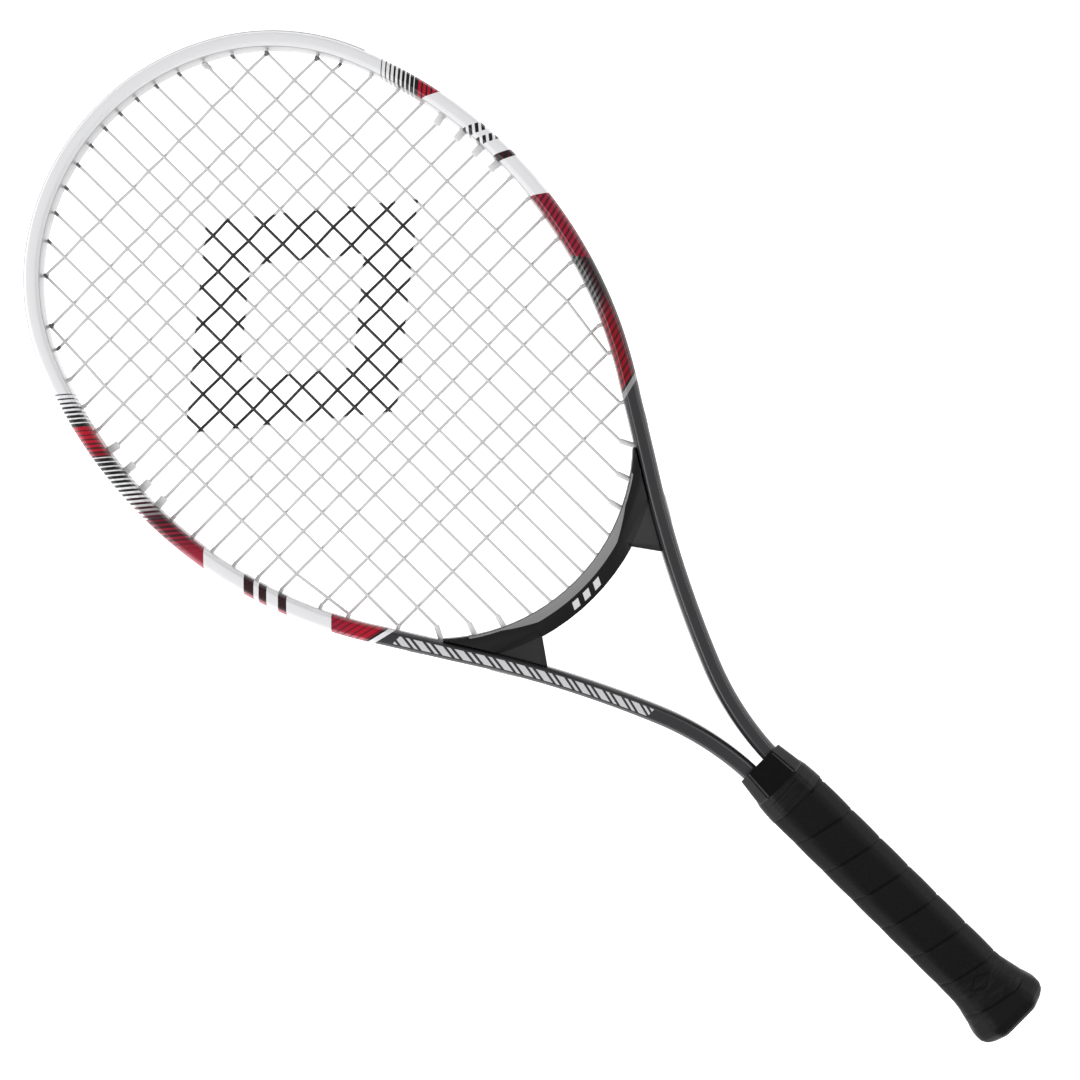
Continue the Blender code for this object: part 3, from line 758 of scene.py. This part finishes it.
def bevelled_copy(name, node, finish, width):
    """A merged copy of a frame node with rounded edges and another finish."""
    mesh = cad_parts[node].data.copy()
    mesh.name = name
    mesh.materials.clear()
    mesh.materials.append(finish)
    work = bmesh.new()
    work.from_mesh(mesh)
    bmesh.ops.remove_doubles(work, verts=work.verts, dist=2e-6)
    bmesh.ops.dissolve_limit(work, angle_limit=radians(0.5), verts=work.verts, edges=work.edges)
    work.to_mesh(mesh)
    work.free()
    piece = new_object(name, mesh)
    step = piece.modifiers.new("rounding", "BEVEL")
    step.width = width
    step.segments = 2
    step.limit_method = "ANGLE"
    step.angle_limit = radians(25)
    step.use_clamp_overlap = True
    piece.data = worked_in(piece, step)
    smoothed(piece.data, 32)
    return piece


# ---- finishes

class Slant:
    """A slanted coordinate of the frame's paint, and its level where the tube passes a height."""

    def __init__(self, x, y, rail, slope):
        self.value = y + abs(x) * slope
        side = rail[rail[:, 0] > 0]
        side = side[side[:, 1].argsort()]
        self.heights = side[:, 1]
        self.levels = side[:, 1] + side[:, 0] * slope

    def at(self, y):
        return float(np.interp(y, self.heights, self.levels))

    def band(self, low, high):
        return self.value.within(self.at(low), self.at(high))

    def below(self, y):
        return self.value < self.at(y)

    def above(self, y):
        return self.value > self.at(y)

    def fade(self, y_from, y_to):
        """Rises from nought to one between two heights, in either direction."""
        return self.value.ramp(self.at(y_from), self.at(y_to))

    def lines(self, pitch, share):
        return (self.value / pitch) % 1.0 < share


def upper_left(paint, colour, left, steep, block, outer):
    """Thickening lines, then red, black and crimson with fine slanted lines."""
    low, high = LEFT_LINES
    share = steep.fade(high, low) * 0.62 + 0.20
    colour = paint.blend(left * steep.band(low, high) * steep.lines(HATCH, share), colour, INK)
    field = paint.blend(steep.fade(0.2170, 0.2125), RED, INK)
    field = paint.blend(steep.fade(0.1930, 0.1760), field, DARK_RED)
    field = paint.blend(steep.fade(0.1740, 0.1610), field, CRIMSON)
    # Painted highlight: the outer bevel on the left side turns pink, as if lit from the left.
    field = paint.blend(outer * 0.5 * (1.0 - steep.band(0.1800, 0.2140)), field, LIT_BEVEL_PINK)
    share = steep.fade(0.2290, 0.2140) * 0.36 + 0.24
    dark = steep.lines(HATCH, share) * (1.0 - steep.band(0.1720, 0.2140)) * steep.fade(0.1400, 0.1560)
    field = paint.blend(dark * 0.85, field, INK)
    share = steep.fade(0.2160, 0.1900) * 0.32 + 0.18
    light = steep.lines(HATCH, share) * steep.band(0.1700, 0.2150)
    # White slanted lines of the print; where they reach lower on the outer bevel, they are a painted
    # highlight.
    field = paint.blend(light * (steep.fade(0.1700, 0.1850) | outer), field, WHITE)
    return paint.blend(left * steep.below(low) * block.above(LEFT_FOOT), colour, field)


def lower_left(paint, colour, left, block, flat, outer):
    """Three slanted bars and a red field above the shaft."""
    first, second, third = (block.band(*span) for span in LEFT_BARS)
    weave = paint.blend(flat.lines(0.0019, 0.45), DARK_RED, INK)
    # Painted highlight: the outer bevel of the bars turns pink, as if lit from the left.
    weave = paint.blend(outer * 0.7, weave, LIT_BEVEL_PINK)
    colour = paint.blend(left * (first | second | third), colour, weave)
    low, high = LEFT_BLOCK
    field = paint.blend(block.fade(high, 0.0500), CRIMSON, RED)
    # Painted highlight: the outer bevel of the field turns pink, as if lit from the left.
    field = paint.blend(outer * 0.5, field, LIT_BEVEL_PINK)
    field = paint.blend(flat.lines(0.0029, 0.26) * 0.8, field, DARK_RED)
    return paint.blend(left * block.below(high) * flat.above(low), colour, field)


def upper_right(paint, colour, right, steep, wedge, upright):
    """Thickening lines, a hatched red wedge and three short striped blocks."""
    low, high = RIGHT_LINES
    share = steep.fade(high, low) * 0.66 + 0.20
    colour = paint.blend(right * steep.band(low, high) * steep.lines(HATCH, share), colour, INK)
    field = paint.blend(steep.lines(HATCH, 0.36), RED, INK)
    colour = paint.blend(right * steep.below(low) * wedge.above(WEDGE_FOOT), colour, field)
    first, second = (wedge.band(*span) for span in SHORT_BLOCKS)
    colour = paint.blend(right * (first | second) * upright.lines(BLOCK_PITCH, 0.55), colour, INK)
    bar = paint.blend(upright.lines(BLOCK_PITCH, 0.5), DARK_RED, INK)
    return paint.blend(right * wedge.band(*RIGHT_BAR), colour, bar)


def lower_right(paint, colour, right, rise, flat, point, across):
    """A long red field with a dark, finely lined wedge in it, down to the shaft."""
    field = paint.blend(flat.fade(0.1000, 0.0700), CRIMSON, BLOOD)
    field = paint.blend(flat.lines(0.0031, 0.42) * 0.9, field, DARK_RED)
    # Painted shade: the right-hand tube's outer side is darkened towards black, as if turned away from the
    # light.
    field = paint.blend(across.ramp(0.0008, 0.0040) * flat.fade(0.1250, 0.0950) * 0.85, field, INK)
    thread = paint.blend(across.ramp(0.0005, -0.0025), WINE, grey(0.17))
    # The lines fade out towards the outer side and leave it black, which is painted shade as well.
    night = paint.blend(flat.lines(0.0027, 0.50) * across.ramp(0.0032, 0.0008), INK, thread)
    shade = paint.blend(flat.fade(0.0860, 0.0740), night, field)
    field = paint.blend(point.below(NIGHT_TOP), field, shade)
    low, high = RIGHT_FIELD
    return paint.blend(right * rise.below(high) * flat.above(low), colour, field)


def shaft_paint(paint, colour, x, y, flat, across):
    """A black and a pale slash, then dark grey with plain slanted bars along the left shaft."""
    left = x < 0
    shaft = paint.blend(abs(across).ramp(0.0026, 0.0046), SHAFT, SHAFT_EDGE)
    place = (y + across * 1.6) % BAR_PITCH
    wide_and_narrow = (place < 0.0042) | place.within(0.0060, 0.0078)
    bars = wide_and_narrow * across.within(-0.0021, 0.0026) * y.within(*SHAFT_BARS)
    shaft = paint.blend(bars * left, shaft, SILVER)
    colour = paint.blend(flat.below(SHAFT_TOP), colour, shaft)
    colour = paint.blend(flat.band(*BLACK_SLASH), colour, INK)
    return paint.blend(flat.band(*PALE_SLASH), colour, paint.blend(left, grey(0.30), WHITE))


def frame_paint(rail):
    """White paint with slanted black and red hatching, and dark grey shafts."""
    paint = Finish("frame_paint", Specular_IOR_Level=0.35, Coat_Weight=0.15, Coat_Roughness=0.15)
    x, y, z = paint.axes()
    across = paint.attribute("across")
    steep, rise, block, wedge, flat, point, upright = (
        Slant(x, y, rail, slope) for slope in (-0.84, 0.7, 1.0, 0.5, -0.24, 1.4, -1.2))
    left = x < 0
    right = x > 0
    outer = across > TUBE_FLAT
    colour = upper_left(paint, WHITE, left, steep, block, outer)
    colour = lower_left(paint, colour, left, block, flat, outer)
    colour = upper_right(paint, colour, right, steep, wedge, upright)
    colour = lower_right(paint, colour, right, rise, flat, point, across)
    colour = shaft_paint(paint, colour, x, y, flat, across)
    groove = abs(z - MID_Z) < GROOVE_HALF
    colour = paint.blend(groove * outer, colour, SHAFT)
    # Painted shade: the inner wall is darkened, standing in for the shadow inside the head.
    wall = across < WALL_EDGE - TUBE_HALF_WIDTH
    colour = paint.blend(wall, colour, paint.shaded(colour, WALL_SHADE))
    paint.coat(colour, paint.noise(900.0, 2.0) * 0.08 + 0.26)
    paint.bump(paint.noise(420.0, 2.0), 0.00002, 0.5)
    return paint.material


def plain(name, colour, roughness, grain=1500.0, depth=0.00001, **constants):
    """One colour with faint clouds and a fine grain."""
    finish = Finish(name, **constants)
    darker = [level * 0.8 for level in colour[:3]] + [1]
    clouded = finish.blend(finish.noise(160.0) * 0.25, colour, darker)
    finish.coat(clouded, finish.noise(700.0) * 0.1 + roughness)
    finish.bump(finish.noise(grain), depth, 0.4)
    return finish.material


def clear_nylon(name, level):
    """Milky translucent nylon."""
    nylon = Finish(name, Coat_Weight=0.3, Coat_Roughness=0.2)
    cloud = nylon.noise(500.0, 3.0)
    nylon.coat(nylon.blend(cloud, grey(level * 0.92), grey(level)), cloud * 0.12 + 0.28)
    nylon.bump(nylon.noise(1200.0), 0.00002, 0.5)
    return nylon.material


def string_nylon():
    """Pale twisted fibre, with a diamond ring of ink stencilled on the middle of the bed."""
    nylon = Finish("string_nylon", Coat_Weight=0.2, Coat_Roughness=0.3)
    x, y, _ = nylon.axes()
    edge = nylon.noise(900.0) * 0.05
    reach = (abs(x - RING_MIDDLE[0]) / RING_REACH[0]
             + abs(y - RING_MIDDLE[1]) / RING_REACH[1] + edge)
    ink = reach.within(*RING_INK)
    worn = nylon.noise(1400.0, 4.0).ramp(0.22, 0.36)
    nylon.coat(nylon.blend(ink * worn, grey(0.66), grey(0.012)), nylon.noise(800.0) * 0.15 + 0.34)
    twist = nylon.noise(1.0, 3.0, 0.6, stretch=(2400.0, 2400.0, 2400.0))
    nylon.bump(twist, 0.00005, 0.6)
    return nylon.material


def bridge_plastic():
    """Satin black moulding: a grey bevel along the head and three pale slashes on its face."""
    plastic = Finish("bridge_plastic", Specular_IOR_Level=0.25)
    x, y, _ = plastic.axes()
    along = y - BRIDGE_CENTRE_Y
    radius = (x * x + along * along).math("SQRT")
    bevel = abs(x).ramp(0.030, 0.047) * -0.0040 + 0.0053
    band = (radius - bevel < BRIDGE_HEAD) * (radius > BRIDGE_HEAD + 0.0003) * (abs(x) < 0.062)
    colour = plastic.blend(band, grey(0.009), grey(0.27))
    gusset = (radius > BRIDGE_THROAT - 0.0006) * (abs(x) > 0.0335)
    colour = plastic.blend(gusset, colour, grey(0.026))
    skew = x + y * -0.5
    slashes = ((skew / SLASH_PITCH) % 1.0 < 0.55) * skew.within(*SLASH_SPAN)
    near, far = (BRIDGE_HEAD + distance for distance in SLASH_BAND)
    colour = plastic.blend(slashes * radius.within(near, far), colour, grey(0.75))
    plastic.coat(colour, plastic.noise(600.0) * 0.1 + 0.34)
    plastic.bump(plastic.cells(1800.0), 0.00002, 0.4)
    return plastic.material


def grip_leather():
    """Black pebbled wrap with creases near the butt and a plain lozenge pressed into its face."""
    leather = Finish("grip_leather", Specular_IOR_Level=0.13)
    x, y, z = leather.axes()
    turn = (pi - (z - MID_Z).math("ARCTAN2", x)) / tau
    place = ((y - WRAP_START_Y) / WRAP_PITCH + turn) % 1.0
    seam = abs(place - 0.5).ramp(0.455, 0.490)
    pores = leather.cells(900.0) * 0.6 + leather.noise(2200.0, 4.0) * 0.4
    creases = leather.noise(1.0, 4.0, 0.6, stretch=(90.0, 420.0, 90.0))
    lozenge = abs(x) / LOZENGE_REACH[0] + abs(y - LOZENGE_Y) / LOZENGE_REACH[1]
    pressed = (lozenge.ramp(1.0, 0.9) - lozenge.ramp(0.72, 0.62)) * (z > MID_Z)
    worn = y.ramp(-0.300, -0.316)
    colour = leather.blend(pores.ramp(0.3, 0.8), grey(0.0045), grey(0.0080))
    colour = leather.blend(worn * creases.ramp(0.5, 0.75) * 0.7, colour, grey(0.022))
    # Painted shade: the spiral seam's groove is darkened; the pressed lozenge's outline is darkened as
    # well.
    colour = leather.blend(pressed * 0.6 | seam, colour, grey(0.0012))
    leather.coat(colour, pores * 0.2 + 0.46)
    leather.bump(pores * 0.35 + creases * (worn * 0.8 + 0.25) - pressed * 0.9, 0.00022, 0.7)
    return leather.material


def tape_vinyl():
    """Dark grey vinyl, creased round the handle."""
    vinyl = Finish("tape_vinyl", Specular_IOR_Level=0.16)
    creases = vinyl.noise(1.0, 4.0, 0.55, stretch=(60.0, 900.0, 60.0))
    vinyl.coat(vinyl.blend(creases.ramp(0.35, 0.7), grey(0.004), grey(0.015)), creases * 0.2 + 0.32)
    vinyl.bump(creases, 0.0003, 0.8)
    return vinyl.material


def collar_gloss():
    """Near-black lacquer with faint moulding haze."""
    gloss = Finish("collar_gloss", Specular_IOR_Level=0.25)
    haze = gloss.noise(240.0, 4.0)
    gloss.coat(gloss.blend(haze, grey(0.0020), grey(0.0045)), haze * 0.1 + 0.12)
    gloss.bump(gloss.noise(500.0), 0.00001, 0.3)
    return gloss.material


# ---- stage

LENS = 68.05
CAMERA_XY = (0.0019, 0.0161)
CAMERA_HEIGHT = 1.1
CAMERA_TURN = -45.23
FLOOR_REACH = 6.0
FLOOR_GLOW = 0.95
SKY = 0.26
LIGHTS = (("key", (-1.25, 0.45, 1.15), 22.0), ("fill", (1.2, -0.45, 1.25), 12.5))
LIGHT_SIZE = 1.3
LIGHT_AIM = (0.0, 0.05, 0.0)


def add_camera():
    """Looks straight down on the racket, which lies across the view."""
    data = bpy.data.cameras.new("view")
    data.sensor_width = 36.0
    data.lens = LENS
    camera = bpy.data.objects.new("view", data)
    camera.location = (*CAMERA_XY, MID_Z + CAMERA_HEIGHT)
    camera.rotation_euler = (0.0, 0.0, radians(CAMERA_TURN))
    bpy.context.scene.collection.objects.link(camera)
    bpy.context.scene.camera = camera


def add_light(name, place, power):
    data = bpy.data.lights.new(name, "AREA")
    data.shape = "RECTANGLE"
    data.size = data.size_y = LIGHT_SIZE
    data.energy = power
    light = bpy.data.objects.new(name, data)
    light.location = place
    way = Vector(LIGHT_AIM) - Vector(place)
    light.rotation_euler = way.to_track_quat("-Z", "Y").to_euler()
    bpy.context.scene.collection.objects.link(light)


def add_stage():
    """A white floor that glows, a pale sky and two soft lights."""
    mesh = bpy.data.meshes.new("floor")
    far = FLOOR_REACH
    mesh.from_pydata([(-far, -far, 0), (far, -far, 0), (far, far, 0), (-far, far, 0)], [], [(0, 1, 2, 3)])
    floor = new_object("floor", mesh)
    pale = Finish("pale_floor", Roughness=0.9, Base_Color=(0.9, 0.9, 0.9, 1.0))
    pale.set("Emission Color", (1.0, 1.0, 1.0, 1.0))
    pale.set("Emission Strength", FLOOR_GLOW)
    mesh.materials.append(pale.material)
    world = bpy.data.worlds.new("studio")
    world.use_nodes = True
    sky = world.node_tree.nodes["Background"]
    sky.inputs["Color"].default_value = (1.0, 1.0, 1.0, 1.0)
    sky.inputs["Strength"].default_value = SKY
    bpy.context.scene.world = world
    bpy.context.scene.view_settings.view_transform = "Standard"
    for name, place, power in LIGHTS:
        add_light(name, place, power)


# ---- pieces

SWEEP = sweep_tree()
COPIES = copies_tree()


def over_wing(spot):
    return WING_X[0] < abs(spot[0]) < WING_X[1] and spot[1] < WING_TOP_Y


def barrel_way(route, bend, beyond):
    """Direction in which a string leaves the head at a bend."""
    share = WING_TURN if over_wing(route[bend]) else 1.0
    way = (route[beyond] - route[bend]) * (share, 1.0, 1.0)
    return way / np.linalg.norm(way)


def port_at(route, bend, beyond):
    """Foot, tip and radius of the barrel in which a string bends, by what it passes through."""
    spot = route[bend]
    if spot[1] < 0 and abs(spot[0]) < WING_X[0]:
        reach = BRIDGE_HEAD - BRIDGE_STUB
        top = np.array([spot[0], BRIDGE_CENTRE_Y - (reach * reach - spot[0] ** 2) ** 0.5, spot[2]])
        return top - (0.0, BRIDGE_BARREL_LENGTH, 0.0), top, SIDE_BARREL
    if spot[1] > DARK_FROM_Y:
        along = heading(spot, route[2 * bend - beyond])
        return spot - along * TIP_FOOT, spot + along * TIP_RIM, TIP_BARREL
    way = barrel_way(route, bend, beyond)
    if over_wing(spot):
        return spot + way * (WING_LENGTH + WING_FOOT), spot - way * SIDE_RIM, LONG_BARREL
    return spot + way * BARREL_FOOT, spot - way * SIDE_RIM, SIDE_BARREL


def bends_of(route):
    """The two ends of every run, each with the next point of the route beyond it."""
    return [pair for first, last in runs_of(route) for pair in ((first, first - 1), (last, last + 1))]


def string_ports(routes):
    """Foot, tip and radius of every barrel, read from the two strings' routes."""
    return [port_at(route, bend, beyond) for route in routes
            for bend, beyond in bends_of(route) if 0 <= beyond < len(route)]


def bridge_channel(finish):
    """The grommet channel in the throat side of the bridge."""
    radius = BRIDGE_THROAT - TUBE_HALF_WIDTH
    turn = BRIDGE_STRIP_HALF / BRIDGE_THROAT
    angles = np.linspace(turn, -turn, 40)
    line = np.column_stack([radius * np.sin(angles), BRIDGE_CENTRE_Y - radius * np.cos(angles)])
    sizes = np.full(len(line), TUBE_HALF_WIDTH)
    return swept_rail("bridge_grommets", strip_outline(), finish, line, sizes)


def make_strips(rail, sizes, ports):
    nylon = clear_nylon("grommet_nylon", 0.70)
    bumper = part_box("head_bumper_strip")
    inner = [rail_index(rail, side, float(bumper[0][1])) for side in (-1, 1)]
    pale = plain("bumper_nylon", grey(0.80, 0.02), 0.34, 900.0, 0.00002)
    strip = swept_rail("tip_bumper", strip_outline(True), pale, rail, sizes, inner[0], inner[1] + 1)
    dress(strip, "bumper_nylon", "head_bumper_strip")
    foot = [rail_index(rail, side, float(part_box("side_grommet_strip_left")[0][1])) for side in (-1, 1)]
    for side, first, last in (("left", foot[0], inner[0] - 1), ("right", inner[1] + 2, foot[1])):
        strip = swept_rail(side + "_grommets", strip_outline(), nylon, rail, sizes, first, last)
        dress(strip, "grommet_nylon", "side_grommet_strip_" + side)
    dress(bridge_channel(nylon), "grommet_nylon", "bridge_grommet_strip")
    dark = plain("dark_nylon", grey(0.13), 0.36)
    clear = clear_nylon("barrel_nylon", 0.80)
    for name, finish, at_tip in (("tip_barrels", dark, True), ("clear_barrels", clear, False)):
        chosen = [port for port in ports if (port[1][1] > DARK_FROM_Y) == at_tip]
        dress(barrels(name, chosen, finish), "grommet_nylon")


def make_sleeves(rail):
    clear = clear_nylon("sleeve_rubber", 0.90)
    ports = []
    names = [f"side_sleeve_{side}_{n}" for side in ("left", "right") for n in range(1, 5)]
    for name in names:
        low, high = (np.array(corner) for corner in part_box(name))
        middle = (low + high) / 2
        nearest = rail[np.linalg.norm(rail - middle[:2], axis=1).argmin()]
        way = heading(middle, np.append(nearest, middle[2]))
        ports.append((middle + way * SLEEVE_HALF, middle - way * SLEEVE_HALF, SLEEVE_RADIUS))
    dress(barrels("string_sleeves", ports, clear), "sleeve_rubber", *names)


def tucked(route):
    """The main string's route, drawn into the bridge's groove and through its long barrels."""
    turned = {}
    for bend, beyond in bends_of(route):
        if over_wing(route[bend]):
            foot = route[bend] + barrel_way(route, bend, beyond) * WING_LENGTH
            turned[bend] = (foot, route[bend]) if beyond < bend else (route[bend], foot)
    points = []
    for number, point in enumerate(route):
        arm = point[:2] - (0.0, BRIDGE_CENTRE_Y)
        reach = np.linalg.norm(arm)
        if abs(point[0]) < WING_X[0] and point[1] < 0 and reach > LOOP_REACH:
            point = np.append(arm * LOOP_REACH / reach + (0.0, BRIDGE_CENTRE_Y), point[2])
        points += turned.get(number, (point,))
    return np.array(points)


def knot_line():
    """Two tight turns and a cut end, tied on a main near the tip."""
    turn = np.linspace(0, KNOT_TURNS * tau, KNOT_POINTS)
    middle = np.add(KNOT_AT, (0.0, -0.0016, MID_Z))
    ring = np.column_stack([np.cos(turn), turn / tau * KNOT_PITCH / KNOT_RADIUS, np.sin(turn)])
    coil = middle + ring * KNOT_RADIUS
    tail = coil[0] + [(-0.0012, -0.0035, 0.0003), (-0.0004, -0.0015, 0.0004)]
    return np.concatenate([tail, coil])


def make_strings(mains, crosses):
    nylon = string_nylon()
    pieces = (
        ("woven_mains", woven(tucked(mains), sorted_runs(crosses, 1), 0), "main_string"),
        ("woven_crosses", woven(crosses, sorted_runs(mains, 0), 1), "cross_string"),
    )
    for name, line, node in pieces:
        dress(rod(name, line, STRING_RADIUS, nylon), "string_nylon", node)
    knot = rod("string_knot", knot_line(), STRING_RADIUS * KNOT_THINNING, nylon)
    dress(knot, "string_nylon")


def seam_relief(angle, y):
    """The grip's spiral: a strip that swells slightly to a tight seam."""
    turn = ((pi - angle) % tau) / tau
    place = ((y - WRAP_START_Y) / WRAP_PITCH + turn) % 1.0
    distance = min(place, 1.0 - place) * WRAP_PITCH
    return WRAP_SWELL * sin(pi * place) - SEAM_DEPTH * max(0.0, 1.0 - distance / SEAM_HALF) - WRAP_SINK


def crease_relief(angle, y):
    """Uneven folds of the wound tape."""
    fold = sin(y * 5200 + 1.3 * sin(angle * 2)) * 0.6 + sin(y * 3100 + angle) * 0.4
    return FOLD_DEPTH * fold


def part_line(angle, y):
    """The fine seam between the collar's two halves."""
    from_side = min(angle % pi, pi - angle % pi)
    return -PART_DEPTH if from_side < PART_TURN else 0.0


def make_collar(finish):
    """The glossy collar: a flat end with a rounded edge, a widening body and a narrower foot."""
    rings = np.array([row for row in rings_of("handle_shell_front") if row[0] > COLLAR_FOOT_Y])
    top, low = rings[0], rings[-1]
    rows = [(top[0], top[1] * COLLAR_LID, top[2] * COLLAR_LID)]
    for drop, inset in ((0.0, 0.0006), (0.0002, 0.0001)):
        rows.append((top[0] - drop, top[1] - inset, top[2] - inset))
    heights = np.linspace(top[0] - 0.0005, COLLAR_FULL_Y, 16)
    part = (heights - heights[0]) / (heights[-1] - heights[0])
    widths, depths = (top[k] + (rings[:, k].max() - top[k]) * part for k in (1, 2))
    rows += list(zip(heights, widths, depths)) + [(COLLAR_FOOT_Y, low[1], low[2])]
    collar = wrapped("glossy_collar", rows, part_line, finish, softness=60, facets=COLLAR_FACETS, sharp=20)
    for vertex in collar.data.vertices:
        drop = max(0.0, MID_Z + float(top[2]) - vertex.co.z)
        near = max(0.0, 1.0 - (float(top[0]) - vertex.co.y) / COLLAR_LEAN)
        vertex.co.y -= drop * COLLAR_SLOPE * near
    dress(collar, "handle_plastic", "handle_shell_front", "handle_shell_back")


def make_handle():
    make_collar(collar_gloss())
    tape_rows = refined_rows(rings_of("finishing_tape"), TAPE_STEP)
    dress(wrapped("wound_tape", tape_rows, crease_relief, tape_vinyl()), "tape_vinyl", "finishing_tape")
    grip_rows = refined_rows(rings_of("grip_wrap"), GRIP_STEP)
    grip_rows[-1][0] -= GRIP_OVERLAP
    grip = wrapped("spiral_grip", grip_rows, seam_relief, grip_leather(), softness=20)
    dress(grip, "grip_leather", "grip_wrap")
    rubber = plain("cap_plastic", grey(0.0065), 0.46, 900.0, 0.00003, Specular_IOR_Level=0.13)
    cap_rows = refined_rows(rings_of("butt_cap")[CAP_HIDDEN:], CAP_STEP)
    heights = cap_rows[:, 0]
    shortened = CAP_ROUND_Y + (heights - CAP_ROUND_Y) * CAP_ROUND
    cap_rows[:, 0] = np.where(heights < CAP_ROUND_Y, shortened, heights)
    dress(wrapped("butt_moulding", cap_rows, lambda angle, y: 0.0, rubber), "cap_plastic", "butt_cap")


def main():
    add_camera()
    add_stage()
    line, half_widths = tube_line()
    rail, places = smooth_line(line, RAIL_STEP)
    sizes = np.interp(places, np.arange(len(line)), half_widths)
    mains = route_of("main_string")
    crosses = route_of("cross_string")
    tube = swept_rail("painted_tube", tube_outline(), frame_paint(rail), rail, sizes)
    dress(tube, "frame_paint", "frame_tube")
    make_strips(rail, sizes, string_ports((mains, crosses)))
    make_sleeves(rail)
    make_strings(mains, crosses)
    bridge = bevelled_copy("bridge_moulding", "throat_bridge", bridge_plastic(), BRIDGE_ROUND)
    dress(bridge, "bridge_plastic", "throat_bridge")
    make_handle()


main()
